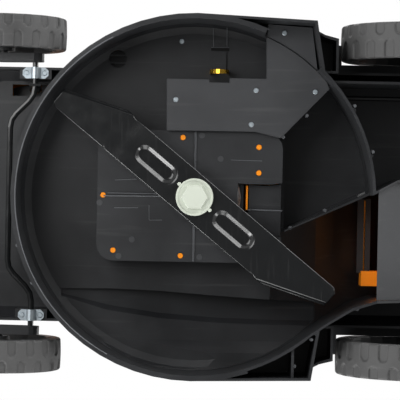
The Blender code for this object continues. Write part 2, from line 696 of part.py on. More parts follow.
def build_hood():
    base = DECK_TOP + GAP
    hood = hood_form(0, base)
    hood.name = "top_cover"
    hood.data.materials.append(ORANGE)
    wall = HOOD_WALL
    cavity = hood_form(wall, base - 0.01)
    bay_low = (BAY_BACK - wall, -BAY_HALF - wall, BAY_FLOOR - wall)
    cut(cavity, block("bay", bay_low, (BAY_FRONT + wall, BAY_HALF + wall, 0.3)))
    cut(hood, cavity, block("bay", (BAY_BACK, -BAY_HALF, BAY_FLOOR), (BAY_FRONT, BAY_HALF, 0.3)))
    grown = WALL + GAP
    slot = block("slot", (-0.150, LINK_Y - 0.007, 0.139), (-0.142, LINK_Y + 0.007, 0.1535))
    cut(hood, volute(grown), tunnel(grown), pocket(grown), slot)
    pegs = []
    for x, y in PEGS:
        high = BAY_FLOOR - 0.001 if x < BAY_FRONT else hood_top(x) - 0.001
        pegs.append(pin("peg", (x, y, 0), "Z", PEG_R, TRAY_LOW - 0.0002, high, 8))
    fin = block("fin", (-0.0640, -0.0140, 0.086), (-0.0620, 0.0150, BAY_FLOOR - 0.001))
    ears = [
        side_prism("ear", [(-0.0205, 0.2380), (-0.0205, 0.2475)] + arc((-0.0160, 0.2460), 0.0045, 90, 0, 3)
                   + [(-0.0115, 0.2360)], y - 0.003, y + 0.003) for y in (-0.043, 0.043)
    ]
    join(hood, *pegs, fin, *ears)
    cut(hood, pin("hole", (-0.0160, 0, 0.2460), "Y", HATCH_PIN_R + RUN, -0.07, 0.07, 10))
    smooth(hood)
    hinge_pin = pin("hatch_pin", (-0.0160, 0, 0.2460), "Y", HATCH_PIN_R, -0.057, 0.057, 10, STEEL)
    ride(mower, hood, hinge_pin)


def build_hatch():
    hatch_hinge = joint("hatch_hinge", (-0.0160, 0, 0.2460), mower)
    low = HOOD[1][4] + GAP
    outline = rounded((BAY_BACK - HATCH_LIP, -BAY_HALF - HATCH_LIP), (-0.0225, BAY_HALF + HATCH_LIP), 0.012)
    crown = [(BAY_BACK + 0.004 + 0.90 * (x - BAY_BACK - 0.004), 0.92 * y) for x, y in outline]
    hatch = loft("battery_hatch", [
        [(x, y, low) for x, y in outline], [(x, y, low + HATCH_THICK) for x, y in outline],
        [(x, y, low + HATCH_THICK + 0.004) for x, y in crown],
    ], DARK)
    knuckles = []
    for y in (-0.0515, 0.0515):
        web = [(-0.0260, low), (-0.0160, low + 0.0015), (-0.0160, 0.2500), (-0.0260, low + HATCH_THICK)]
        knuckles.append(side_prism("web", web, y - 0.005, y + 0.005))
        knuckles.append(pin("knuckle", (-0.0160, y, 0.2460), "Y", 0.0045, -0.005, 0.005, 12))
    join(hatch, *knuckles)
    cut(hatch, pin("hole", (-0.0160, 0, 0.2460), "Y", HATCH_PIN_R + RUN, -0.07, 0.07, 10))
    smooth(hatch)
    ride(hatch_hinge, hatch)


def build_inside():
    dock = block("battery_dock", (BAY_BACK + 0.001, -BAY_HALF + 0.001, BAY_FLOOR + GAP),
                 (BAY_FRONT - 0.001, BAY_HALF - 0.001, BAY_FLOOR + 0.005), DARK)
    join(dock, *[block("contact", (-0.100, y - 0.012, BAY_FLOOR + 0.004), (-0.064, y + 0.012, BAY_FLOOR + 0.011))
                 for y in (-0.0345, 0.0345)])
    ride(mower, dock)
    for name, side in SIDES:
        inner, outer = sorted((side * 0.0008, side * (BAY_HALF - 0.002)))
        low = BAY_FLOOR + 0.005 + GAP
        pack = prism(f"battery_pack_{name}", rounded((BAY_BACK + 0.002, inner), (BAY_FRONT - 0.002, outer),
                                                     0.006, 2), low, 0.2340, BLACK)
        socket = block("socket", (-0.1005, side * 0.0345 - 0.0125, low - 0.001),
                       (-0.0635, side * 0.0345 + 0.0125, BAY_FLOOR + 0.0115))
        cut(pack, socket)
        ride(mower, pack)
    controller = prism("controller_box", rounded((0.122, -0.050), (0.188, 0.050), 0.005, 2),
                       DECK_TOP + GAP, 0.145, BLACK)
    fins = [block("slot", (0.1165, y, 0.1415), (0.195, y + 0.004, 0.150)) for y in
            [-0.042 + 0.010 * k for k in range(9)]]
    cut(controller, *fins)
    ride(mower, controller)


build_hood()
build_hatch()
build_inside()


# Motor and cutter
def build_motor():
    low = TRAY_LOW + TRAY_WALL + GAP
    high = low + MOTOR_HIGH
    can = turned("motor_can", [
        (0.0095, low), (MOTOR_R - 0.004, low), (MOTOR_R, low + 0.004), (MOTOR_R, high - 0.006),
        (MOTOR_R - 0.016, high - 0.006), (MOTOR_R - 0.016, low + 0.014), (SHAFT_R + RUN, low + 0.014),
        (SHAFT_R + RUN, low + 0.004), (0.0095, low + 0.004),
    ], (0, 0, 0), "Z", 20, STEEL, ring=True)
    cap_low = high - 0.006 + GAP
    cap = turned("motor_cap", [
        (SHAFT_R + RUN, cap_low), (MOTOR_R - 0.001, cap_low), (MOTOR_R - 0.004, cap_low + 0.004),
        (0.016, cap_low + 0.004), (0.014, cap_low + 0.0052), (SHAFT_R + RUN, cap_low + 0.0052),
    ], (0, 0, 0), "Z", 20, BLACK, ring=True)
    smooth(can, cap)
    ride(mower, can, cap)

    cutter = joint("cutter_spin", (0, 0, 0), mower)
    blade_top = BLADE_Z + BLADE_THICK
    carrier_top = TRAY_LOW - 0.001
    rotor_low = low + 0.0175
    rotor = turned("rotor_shaft", [
        (0, carrier_top + GAP), (SHAFT_R, carrier_top + GAP), (SHAFT_R, rotor_low), (ROTOR_R, rotor_low),
        (ROTOR_R, high - 0.009), (SHAFT_R, high - 0.009), (SHAFT_R, high - 0.002), (0, high - 0.002),
    ], (0, 0, 0), "Z", 16, STEEL)
    carrier = turned("blade_carrier", [
        (0, blade_top + GAP), (HUB_R, blade_top + GAP), (HUB_R, blade_top + 0.004), (0.018, blade_top + 0.008),
        (0.013, carrier_top - 0.004), (0.011, carrier_top), (0, carrier_top),
    ], (0, 0, 0), "Z", 24, BLACK)
    cap_top = BLADE_Z - GAP
    cap_piece = turned("blade_bolt_cap", [
        (0, cap_top), (CAP_R, cap_top), (CAP_R, cap_top - CAP_FLANGE), (CAP_R - 0.002, cap_top - CAP_FLANGE),
        (CAP_R - 0.003, cap_top - CAP_FLANGE + 0.001), (0, cap_top - CAP_FLANGE + 0.001),
    ], (0, 0, 0), "Z", 24, NYLON)
    hexagon = pin("hexagon", (0, 0, 0), "Z", HEX_R, cap_top - HEX_HIGH, cap_top - 0.001, 6)
    hexagon.data.transform(Matrix.Rotation(BLADE_TURN, 4, "Z"))
    ears = []
    for turn in (0, math.pi):
        ear = block("ear", (CAP_R - 0.002, -0.0018, cap_top - 0.003), (CAP_R + 0.0018, 0.0018, cap_top))
        ear.data.transform(Matrix.Rotation(BLADE_TURN + turn, 4, "Z"))
        ears.append(ear)
    join(cap_piece, hexagon, *ears)
    smooth(rotor, carrier, cap_piece)
    ride(cutter, rotor, carrier, cap_piece, build_blade())


def build_blade():
    """One bar of spring steel: dimples by the hub, cranked arms, wings bent up behind the sharp edge."""
    half, reach = BLADE_WIDTH / 2, BLADE_LENGTH / 2
    wing_start, wing_end = reach - 0.083, 0.0083
    low, high = BLADE_Z, BLADE_Z + BLADE_THICK
    blade = block("blade", (-reach, -half, low), (reach, half, high), SATIN_STEEL)
    pieces = []
    for turn in (0, math.pi):
        tip = prism("tip", [
            (wing_start, -half - 0.001), (reach + 0.001, wing_end), (reach + 0.001, -half - 0.001),
        ], low - 0.001, high + 0.001)
        tip.data.transform(Matrix.Rotation(turn, 4, "Z"))
        corner = prism("corner", [(reach - 0.005, half + 0.001), (reach + 0.001, half + 0.001),
                                  (reach + 0.001, half - 0.007)], low - 0.001, high + 0.001)
        corner.data.transform(Matrix.Rotation(turn, 4, "Z"))
        hone = side_prism("hone", [(0, low - 0.001), (0, low + 0.0022), (0.0035, low - 0.001)], 0, 0.078)
        hone.data.transform(Matrix.Rotation(math.radians(-90), 4, "Z"))
        hone.data.transform(Matrix.Translation((reach - 0.079, half + 0.0001, 0)))
        hone.data.transform(Matrix.Rotation(turn, 4, "Z"))
        pieces += [tip, corner, hone]
        dimple = rounded((DIMPLE_PLACE - DIMPLE_LONG / 2, -DIMPLE_WIDE / 2),
                         (DIMPLE_PLACE + DIMPLE_LONG / 2, DIMPLE_WIDE / 2), DIMPLE_WIDE / 2 - 0.0001, 4)
        middle = [(DIMPLE_PLACE + 0.86 * (x - DIMPLE_PLACE), 0.72 * y) for x, y in dimple]
        press = loft("press", [[(x, y, low - 0.001) for x, y in dimple], [(x, y, low) for x, y in dimple],
                               [(x, y, low + DIMPLE_DEEP) for x, y in middle]])
        press.data.transform(Matrix.Rotation(turn, 4, "Z"))
        pieces.append(press)
    cut(blade, *pieces)
    wings = []
    for turn in (0, math.pi):
        wing_low = [(wing_start, -half, low), (reach, wing_end, low), (reach, wing_end + 0.003, high),
                    (wing_start, -half + 0.003, high)]
        rise = Vector((0, 0, WING_RISE))
        drop = Vector((0.0066, -0.0180, 0))
        wing = loft("wing", [
            [Vector(p) for p in wing_low],
            [Vector((wing_start + 0.010, -half, low + 0.003)),
             Vector((reach, wing_end, low)) + drop * 0.9 + rise - Vector((0.0066, 0, 0)),
             Vector((reach, wing_end, high)) + drop * 0.9 + rise - Vector((0.0066, -0.002, 0)),
             Vector((wing_start + 0.010, -half + 0.002, high + 0.003))],
        ])
        wing.data.transform(Matrix.Rotation(turn, 4, "Z"))
        wings.append(wing)
    join(blade, *wings)
    blade.data.transform(Matrix.Scale(-1, 4, Vector((0, 1, 0))))
    blade.data.flip_normals()
    blade.data.transform(Matrix.Rotation(BLADE_TURN, 4, "Z"))
    return blade


build_motor()


# Axles and wheels
def cranked_axle(name, pivot, throw):
    """A round bar through both clips; with a throw it is cranked forward between them."""
    end = TRACK_OUT - FRONT_TREAD - 0.0035
    if throw:
        half = [(0, end), (0, CRANK_END), (throw, CRANK_HALF)]
        path = [pivot + Vector((x, y, 0)) for x, y in half]
        path += [pivot + Vector((x, -y, 0)) for x, y in reversed(half)]
        bar = rod(name, eased(path, 0.010, 2), ROD_R, 8, SATIN_STEEL)
    else:
        bar = rod(name, [pivot + Vector((0, end, 0)), pivot - Vector((0, end, 0))], ROD_R, 8, SATIN_STEEL)
    tab = side_prism("tab", [(pivot.x - 0.007, pivot.z - 0.004), (pivot.x + 0.007, pivot.z - 0.004),
                             *arc((pivot.x, pivot.z + TAB_HIGH), 0.0055, 0, 180, 4)], TAB_Y, TAB_Y + 0.003)
    stud = pin("stud", (pivot.x, 0, pivot.z + TAB_HIGH), "Y", LINK_R, LINK_Y - 0.0035, TAB_Y + 0.001, 8)
    return join(bar, tab, stud)


def clip(name, pivot, side):
    """A zinc saddle over the axle, screwed up to its pad."""
    top = pivot.z + ROD_R + GAP - 0.0001
    inner, outer = sorted((side * (CLIP_Y - CLIP_WIDE / 2), side * (CLIP_Y + CLIP_WIDE / 2)))
    ears = prism(name, rounded((pivot.x - CLIP_LONG / 2, inner), (pivot.x + CLIP_LONG / 2, outer), 0.004, 1),
                 top - CLIP_THICK, top, ZINC)
    bore = ROD_R + RUN
    saddle = pin("saddle", (pivot.x, 0, pivot.z), "Y", bore + CLIP_THICK, inner, outer, 12)
    cap = block("cap", (pivot.x - 0.02, inner - 0.001, top), (pivot.x + 0.02, outer + 0.001, top + 0.02))
    join(ears, saddle)
    cut(ears, cap, pin("bore", (pivot.x, 0, pivot.z), "Y", bore, inner - 0.001, outer + 0.001, 10),
        block("throat", (pivot.x - bore * 0.97, inner - 0.001, pivot.z), (pivot.x + bore * 0.97, outer + 0.001, top + 0.01)))
    return ears


def crank_arm(name, pivot, side, inner, outer, stub_end):
    """A black arm on the axle's end, with the stub that its wheel turns on."""
    hub = Vector((pivot.x + ARM_REACH, 0, pivot.z + ARM_RISE))
    boss, eye = 0.0105, 0.0125
    tilt = math.degrees(math.atan2(ARM_RISE, ARM_REACH))
    outline = arc((pivot.x, pivot.z), boss, 90 + tilt, 270 + tilt, 6)
    outline += arc((hub.x, hub.z), eye, 270 + tilt, 450 + tilt, 6)
    low, high = sorted((side * inner, side * outer))
    arm = side_prism(name, outline, low, high, BLACK)
    a, b = sorted((side * (outer - 0.001), side * stub_end))
    stub = pin("stub", hub, "Y", STUB_R, a, b, 14)
    a, b = sorted((side * (inner - 0.001), side * (TRACK_OUT - FRONT_TREAD - 0.0032)))
    join(arm, stub)
    cut(arm, pin("bore", pivot, "Y", ROD_R + RUN, a, b, 12))
    smooth(arm)
    return arm


def build_link():
    front, rear = FRONT_PIVOT.z + TAB_HIGH, REAR_PIVOT.z + TAB_HIGH
    path = [
        (FRONT_PIVOT.x + 0.003, LINK_Y, front + 0.003), (FRONT_PIVOT.x + 0.008, LINK_Y, front + 0.009),
        (FRONT_PIVOT.x + 0.008, LINK_Y, LINK_Z - 0.006), (FRONT_PIVOT.x - 0.002, LINK_Y, LINK_Z),
        (REAR_PIVOT.x + 0.022, LINK_Y, LINK_Z), (REAR_PIVOT.x + 0.004, LINK_Y, rear + 0.001),
    ]
    link = rod("height_link", eased(path, 0.004, 1), LINK_R - 0.0005, 6, STEEL)
    eyes, bores = [], []
    for x, z in ((FRONT_PIVOT.x, front), (REAR_PIVOT.x, rear)):
        eyes.append(pin("eye", (x, LINK_Y, z), "Y", LINK_EYE, -0.0022, 0.0022, 12))
        bores.append(pin("bore", (x, LINK_Y, z), "Y", LINK_R + RUN, -0.01, 0.01, 12))
    join(link, *eyes)
    return cut(link, *bores)


def build_lever():
    """The height lever: a notched foot on the rear axle and a flat bar up to its grip."""
    notches, foot_r, deep, step = 7, 0.034, 0.002, ADJUST_STEP
    inner, outer = LEVER_Y, LEVER_Y + LEVER_THICK
    x, z = REAR_PIVOT.x, REAR_PIVOT.z
    foot = []
    first = math.radians(180) - step * notches / 2
    for k in range(notches):
        turn = first + k * step
        for share, radius in ((0.08, foot_r), (0.38, foot_r), (0.5, foot_r - deep), (0.62, foot_r), (0.92, foot_r)):
            if share == 0.5 or share in (0.38, 0.62) or k in (0, notches - 1):
                foot.append((x + radius * math.cos(turn + share * step), z + radius * math.sin(turn + share * step)))
    outline = foot + [(x + 0.009, z - 0.010), (x + 0.009, z + 0.030), (x + 0.007, z + LEVER_LONG),
                      (x - 0.009, z + LEVER_LONG), (x - 0.011, z + 0.034)]
    lever = side_prism("height_lever", outline, inner, outer, SATIN_STEEL)
    cut(lever, pin("bore", REAR_PIVOT, "Y", ROD_R + RUN, inner - 0.001, outer + 0.001, 12))
    low = z + LEVER_LONG - 0.030
    grip = loft("lever_grip", [
        [(x + a, y, low + b) for a, y in rounded((-0.013 * s, inner - 0.004), (0.011 * s, outer + 0.004), 0.004, 2)]
        for b, s in ((0, 0.90), (0.010, 1.0), (0.036, 1.0), (0.042, 0.75))
    ], ORANGE)
    cut(grip, block("socket", (x - 0.0115, inner - GAP, low - 0.01),
                    (x + 0.0095, outer + GAP, z + LEVER_LONG + GAP)))
    tip = Vector((x - foot_r - GAP - 0.0002, 0, z))
    detent = side_prism("detent_spring", [
        (tip.x, tip.z), (tip.x - 0.0030, tip.z + 0.0012), (tip.x - 0.0030, tip.z + 0.0100),
        (tip.x + 0.0006, tip.z + 0.0230), (tip.x - 0.0006, tip.z + 0.0230), (tip.x - 0.0044, tip.z + 0.0102),
        (tip.x - 0.0044, tip.z - 0.0012), (tip.x - 0.0030, tip.z - 0.0012),
    ], REAR_HALF + GAP, inner + 0.003, STEEL)
    return lever, grip, detent


def build_wheel(prefix, name, side, carrier, hub, radius, tread, lugs):
    outer = TRACK_OUT
    inner = TRACK_OUT - tread
    spin = joint(f"{prefix}_wheel_{name}_spin", hub, carrier)
    steps, bed = lugs, radius - TYRE_DEEP
    low, high = sorted((side * inner, side * outer))
    centre = (hub.x, 0, hub.z)
    tyre = turned(f"{prefix}_tyre_{name}", [
        (bed, low), (radius - 0.003, low), (radius, low + 0.003), (radius, high - 0.003),
        (radius - 0.003, high), (bed, high),
    ], centre, "Y", steps, TYRE, ring=True)
    grooves = bmesh.new()
    for k in range(lugs):
        spin_to = Matrix.Translation(centre) @ Matrix.Rotation(2 * math.pi * (k + 0.5) / lugs, 4, "Y")
        ends = []
        for y in (low + 0.0012, high - 0.0012):
            corners = ((0, radius - LUG_DEEP), (-GROOVE_WIDE, radius + 0.002), (GROOVE_WIDE, radius + 0.002))
            ends.append([grooves.verts.new(spin_to @ Vector((u, y, r))) for u, r in corners])
        near, far = ends
        for here in range(3):
            grooves.faces.new((near[here], near[here - 1], far[here - 1], far[here]))
        grooves.faces.new(near)
        grooves.faces.new(far[::-1])
    cut(tyre, add("grooves", grooves))
    bore = STUB_R + RUN
    rim_r = bed - GAP
    face = side * (outer - 0.010)
    web = side * 0.0035
    profile = [
        (bore, side * (inner + 0.001)), (0.0135, side * (inner + 0.001)), (0.0155, face - web),
        (rim_r - 0.0045, face - web), (rim_r - 0.003, side * (inner + 0.0015)),
        (rim_r, side * (inner + 0.0015)), (rim_r, side * (outer - 0.0015)),
        (rim_r - 0.005, side * (outer - 0.0015)), (0.024, face),
        (0.020, side * (outer - 0.0005)), (0, side * (outer - 0.0005)), (0, side * (outer - 0.0035)),
        (bore, side * (outer - 0.0035)),
    ]
    rim = turned(f"{prefix}_rim_{name}", profile, centre, "Y", lugs, BLACK, ring=True)
    smooth(rim, angle=30)
    ride(spin, tyre, rim)
    return tyre, rim


def build_running_gear():
    height = joint("height_adjust", REAR_PIVOT, mower)
    front = joint("front_axle_turn", FRONT_PIVOT, mower)
    link_pin = joint("link_turn", REAR_PIVOT + Vector((0, LINK_Y, TAB_HIGH)), height)
    front_axle = cranked_axle("front_axle", FRONT_PIVOT, CRANK_THROW)
    rear_axle = cranked_axle("rear_axle", REAR_PIVOT, 0)
    lever, grip, detent = build_lever()
    ride(front, front_axle)
    ride(height, rear_axle, lever, grip)
    ride(mower, detent)
    ride(link_pin, build_link())
    for name, side in SIDES:
        stub = TRACK_OUT - 0.0040
        ride(mower, clip(f"front_clip_{name}", FRONT_PIVOT, side), clip(f"rear_clip_{name}", REAR_PIVOT, side))
        ride(front, crank_arm(f"front_arm_{name}", FRONT_PIVOT, side, 0.1580, TRACK_OUT - FRONT_TREAD - 0.002, stub))
        ride(height, crank_arm(f"rear_arm_{name}", REAR_PIVOT, side, 0.1620, TRACK_OUT - REAR_TREAD - 0.0006, stub))
        hub = FRONT_PIVOT + Vector((ARM_REACH, side * TRACK_OUT, ARM_RISE))
        build_wheel("front", name, side, front, hub, FRONT_WHEEL_R, FRONT_TREAD, FRONT_LUGS)
        hub = REAR_PIVOT + Vector((ARM_REACH, side * TRACK_OUT, ARM_RISE))
        build_wheel("rear", name, side, height, hub, REAR_WHEEL_R, REAR_TREAD, REAR_LUGS)


build_running_gear()


# Rear flap and carry handle
def build_flap():
    axis = Vector((-0.343, 0, 0.206))
    hinge = joint("flap_hinge", axis, mower)
    outline = rounded((-0.124, 0.1045), (0.028, 0.1955), 0.008, 2)
    flap = loft("rear_flap", [[(x, y, z) for y, z in outline] for x in (-0.3450, -0.3410)], DARK)
    neck = block("neck", (-0.3448, -0.1072, 0.190), (-0.3412, 0.0112, 0.2055))
    barrel = pin("barrel", axis, "Y", 0.0046, -0.1072, 0.0112, 12)
    ribs = [block("rib", (-0.3490, y, 0.112), (-0.3440, y + 0.003, 0.188)) for y in (-0.100, -0.0495, 0.001)]
    join(flap, neck, barrel, *ribs)
    cut(flap, pin("hole", axis, "Y", 0.0021 + RUN, -0.13, 0.03, 10))
    smooth(flap)
    flap_pin = pin("flap_pin", axis, "Y", 0.0021, -0.1205, 0.0245, 10, STEEL)
    ride(hinge, flap)
    ride(mower, flap_pin)

    x, half, top = 0.135, 0.055, 0.240
    carry = rod("carry_handle", eased([(x, -half, 0.170), (x, -half, top), (x, half, top), (x, half, 0.170)],
                                      0.022, 3), 0.008, 10, BLACK)
    cut(carry, hood_form(-GAP, 0.10))
    smooth(carry)
    ride(mower, carry)


build_flap()


# Handle
def build_lower_handle():
    fold = joint("handle_fold", FOLD, mower)
    for name, side in SIDES:
        start = FOLD - 0.012 * TUBE_WAY + Vector((0, side * TUBE_HALF, 0))
        end = ELBOW + 0.014 * TUBE_WAY + Vector((0, side * TUBE_HALF, 0))
        tube = rod(f"lower_tube_{name}", [start, end], TUBE_R, 12, BLACK)
        bores = [pin("bore", point, "Y", BOLT_R + RUN, -0.2, 0.2, 12) for point in (FOLD, ELBOW)]
        cut(tube, *bores)
        smooth(tube)
        a = side * (TUBE_HALF - TUBE_R - 0.0040)
        stud_end = side * (UPPER_HALF + TUBE_R + 0.0013)
        stops = [
            (0, a), (0.008, a), (0.008, side * (TUBE_HALF - TUBE_R - GAP)), (BOLT_R, side * (TUBE_HALF - TUBE_R - GAP)),
            (BOLT_R, side * (TUBE_HALF + TUBE_R + GAP)), (0.008, side * (TUBE_HALF + TUBE_R + GAP)),
            (0.008, side * (UPPER_HALF - TUBE_R - GAP)), (BOLT_R, side * (UPPER_HALF - TUBE_R - GAP)),
            (BOLT_R, side * (UPPER_HALF + TUBE_R + GAP)), (0.008, side * (UPPER_HALF + TUBE_R + GAP)),
            (0.008, stud_end), (0, stud_end),
        ]
        bolt = turned(f"cam_bolt_{name}", stops, ELBOW, "Y", 8, STEEL)
        ride(fold, tube, bolt)
        knob_turn = joint(f"knob_{name}_turn", FOLD + Vector((0, side * (TUBE_HALF + 0.025), 0)), mower)
        a, b = sorted((side * (TUBE_HALF - TUBE_R - 0.0060), side * (TUBE_HALF + 0.0180)))
        knob = pin(f"handle_knob_{name}", FOLD, "Y", BOLT_R, a, b, 8, BLACK)
        a, b = sorted((side * (TUBE_HALF + 0.0170), side * (TUBE_HALF + 0.0310)))
        lobes = [(FOLD_X + (0.0175 if k % 2 else 0.0135) * math.cos(k * math.pi / 6),
                  FOLD_Z + (0.0175 if k % 2 else 0.0135) * math.sin(k * math.pi / 6)) for k in range(12)]
        join(knob, side_prism("star", lobes, a, b))
        ride(knob_turn, knob)
    middle = FOLD + 0.330 * TUBE_WAY
    reach = TUBE_HALF - TUBE_R - GAP
    ride(fold, pin("lower_brace", middle, "Y", 0.008, -reach, reach, 12, BLACK))
    return fold


def build_upper_handle(fold):
    elbow = joint("upper_fold", ELBOW, fold)
    start = ELBOW - 0.014 * TUBE_WAY
    half = [(start, UPPER_HALF), (BEND, UPPER_HALF), (BAR, UPPER_HALF)]
    path = [point + Vector((0, y, 0)) for point, y in half]
    path += [point - Vector((0, y, 0)) for point, y in reversed(half)]
    handle = rod("upper_handle", eased(path, 0.038, 3), TUBE_R, 12, BLACK)
    cut(handle, pin("bore", ELBOW, "Y", BOLT_R + RUN, -0.25, 0.25, 12))
    smooth(handle)
    sleeve = TUBE_R + GAP
    grip = turned("handle_grip", [
        (sleeve, -GRIP_HALF), (TUBE_R + GRIP_WALL - 0.0015, -GRIP_HALF), (TUBE_R + GRIP_WALL, -GRIP_HALF + 0.003),
        (TUBE_R + GRIP_WALL, GRIP_HALF - 0.003), (TUBE_R + GRIP_WALL - 0.0015, GRIP_HALF), (sleeve, GRIP_HALF),
    ], BAR, "Y", 16, FOAM, ring=True)
    smooth(grip)
    ride(elbow, handle, grip)

    centre = BEND - 0.095 * TUBE_WAY
    outer_y, inner_y = -(UPPER_HALF - TUBE_R - GAP), -0.105

    def slanted(along, out):
        point = centre + along * TUBE_WAY + out * TUBE_NORMAL
        return (point.x, point.z)

    outline = [slanted(-0.045, -0.018), slanted(0.045, -0.018), slanted(0.048, 0.006), slanted(0.040, 0.020),
               slanted(-0.036, 0.020), slanted(-0.048, 0.004)]
    box = side_prism("switch_box", outline, outer_y, inner_y, BLACK)
    button_at = centre + Vector((0, (outer_y + inner_y) / 2, 0))
    key_at = centre - 0.025 * TUBE_WAY
    cut(box, pin("bore", button_at, tuple(TUBE_NORMAL), 0.0073, 0.0005, 0.030, 14),
        pin("bore", key_at, "Y", 0.0044, inner_y - 0.0165, inner_y + 0.01, 10))
    ride(elbow, box)
    button_press = joint("start_button_press", button_at, elbow)
    button = pin("start_button", button_at, tuple(TUBE_NORMAL), 0.007, 0.0060, 0.0262, 14, ORANGE)
    ride(button_press, button)
    key_pull = joint("safety_key_pull", key_at + Vector((0, inner_y, 0)), elbow)
    key = pin("safety_key", key_at, "Y", 0.004, inner_y - 0.015, inner_y + 0.001, 10, ORANGE)
    head = [(key_at.x + u * TUBE_WAY.x + v * TUBE_NORMAL.x, key_at.z + u * TUBE_WAY.z + v * TUBE_NORMAL.z)
            for u, v in ((-0.009, -0.006), (0.009, -0.006), (0.009, 0.006), (-0.009, 0.006))]
    join(key, side_prism("head", head, inner_y + GAP, inner_y + 0.012))
    ride(key_pull, key)

    bail_at = BEND - 0.020 * TUBE_WAY
    bail_turn = joint("bail_turn", bail_at, elbow)
    to_bar = BAR - bail_at
    up = Matrix.Rotation(BAIL_OPEN, 3, "Y") @ to_bar
    end_y, leg_y = UPPER_HALF - TUBE_R - GAP, UPPER_HALF - TUBE_R - 0.012
    points = [bail_at + Vector((0, end_y, 0)), bail_at + Vector((0, leg_y, 0)), bail_at + up + Vector((0, leg_y, 0))]
    points += [bail_at + up - Vector((0, leg_y, 0)), bail_at - Vector((0, leg_y, 0)), bail_at - Vector((0, end_y, 0))]
    bail = rod("bail_lever", [points[0], *eased(points, 0.009, 2)[1:-1], points[-1]], BAIL_R, 8, SATIN_STEEL)
    smooth(bail)
    ride(bail_turn, bail)

    for name, side in SIDES:
        out = UPPER_HALF + TUBE_R + 0.0013 + 0.0088
        at = ELBOW + Vector((0, side * out, 0))
        cam_turn = joint(f"cam_{name}_turn", at, elbow)
        cam = pin(f"cam_lever_{name}", at, tuple(TUBE_NORMAL), 0.0085, -0.007, 0.007, 14, DARK)
        corners = []
        for along in (0.0, 0.060):
            wide = 0.007 if along == 0 else 0.0055
            for u, v in ((-wide, 0.0005), (wide, 0.0005), (wide, 0.0065), (-wide, 0.0065)):
                corners.append(at + along * TUBE_WAY + u * TUBE_NORMAL + Vector((0, side * (v + 0.001), 0)))
        join(cam, loft("arm", [corners[:4], corners[4:]]))
        smooth(cam)
        ride(cam_turn, cam)


build_upper_handle(build_lower_handle())


# Origin on the ground, under the middle of the mower
bpy.context.view_layer.update()
spots = [thing.matrix_world @ Vector(corner) for thing in bpy.data.objects if thing.type == "MESH"
         for corner in thing.bound_box]
middle_x = (min(p.x for p in spots) + max(p.x for p in spots)) / 2
middle_y = (min(p.y for p in spots) + max(p.y for p in spots)) / 2
mower.location = (-middle_x, -middle_y, 0)
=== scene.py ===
# %% [markdown]
# # A battery lawn mower, seen from below
# The solids of the mower come ready made, in metres, with Z up. This lesson gives them their finishes and adds what
# is too fine for them: screws, tread, the pressed blade, ribs and marks left by the mould.

# %% Load the mower and keep its box
import math

import bmesh
import bpy
import numpy as np
from mathutils import Matrix, Vector
from mathutils.bvhtree import BVHTree


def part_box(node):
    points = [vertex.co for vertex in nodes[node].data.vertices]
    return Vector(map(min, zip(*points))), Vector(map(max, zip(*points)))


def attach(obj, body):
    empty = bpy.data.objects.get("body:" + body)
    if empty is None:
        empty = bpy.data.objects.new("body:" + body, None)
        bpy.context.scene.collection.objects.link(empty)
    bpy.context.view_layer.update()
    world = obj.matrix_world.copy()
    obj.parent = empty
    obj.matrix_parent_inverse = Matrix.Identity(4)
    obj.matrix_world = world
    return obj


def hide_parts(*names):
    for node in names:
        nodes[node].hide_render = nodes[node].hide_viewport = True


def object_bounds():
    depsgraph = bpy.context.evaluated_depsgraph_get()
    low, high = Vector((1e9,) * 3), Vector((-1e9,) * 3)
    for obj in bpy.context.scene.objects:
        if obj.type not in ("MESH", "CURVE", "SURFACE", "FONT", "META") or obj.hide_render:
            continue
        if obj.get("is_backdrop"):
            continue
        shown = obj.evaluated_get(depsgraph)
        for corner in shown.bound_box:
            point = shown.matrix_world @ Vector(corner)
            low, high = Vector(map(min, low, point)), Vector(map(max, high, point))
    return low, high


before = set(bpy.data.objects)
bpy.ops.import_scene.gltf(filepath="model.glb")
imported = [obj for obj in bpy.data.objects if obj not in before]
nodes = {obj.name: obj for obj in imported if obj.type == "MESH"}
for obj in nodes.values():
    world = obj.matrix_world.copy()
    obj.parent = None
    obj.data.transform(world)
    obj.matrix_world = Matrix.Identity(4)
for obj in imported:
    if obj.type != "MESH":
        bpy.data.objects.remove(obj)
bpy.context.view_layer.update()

# %% [markdown]
# The blade turns about an upright axis. Everything under the deck is measured from that axis, in millimetres, so a
# small function turns such a place into metres. X runs forward, Y to the mower's left and Z up.

# %% The blade's axis as the place to measure from
hub_low, hub_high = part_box("blade_carrier")
AXIS = (hub_low + hub_high) / 2


def at(x, y, z):
    """A place in millimetres from the blade's axis and the ground, in metres."""
    return Vector((AXIS.x + x / 1000, y / 1000, z / 1000))


print("axis", round(AXIS.x, 4))

# %% [markdown]
# ## Finishes
# A finish is a small tree of nodes. One function adds a node, sets its values and links what it is given. Another
# turns a colour as a picture editor shows it, such as #f08c14, into the linear numbers that a shader wants.


# %% Helpers for colours and nodes
def linear(hex_colour):
    """A colour written as #rrggbb, as linear red, green, blue and alpha."""
    parts = [int(hex_colour[k:k + 2], 16) / 255 for k in (1, 3, 5)]
    return (*[v / 12.92 if v <= 0.04045 else ((v + 0.055) / 1.055) ** 2.4 for v in parts], 1.0)


def put(tree, kind, values=None, **settings):
    """Adds one node; values go to its sockets by name or number, and a socket given as a value is linked."""
    made = tree.nodes.new(kind)
    for name, value in settings.items():
        setattr(made, name, value)
    for key, value in (values or {}).items():
        if isinstance(value, bpy.types.NodeSocket):
            tree.links.new(value, made.inputs[key])
        else:
            made.inputs[key].default_value = value
    return made


def blank(name):
    """A material with one shader, and the tree to build on."""
    material = bpy.data.materials.new(name)
    material.use_nodes = True
    return material, material.node_tree, material.node_tree.nodes["Principled BSDF"]


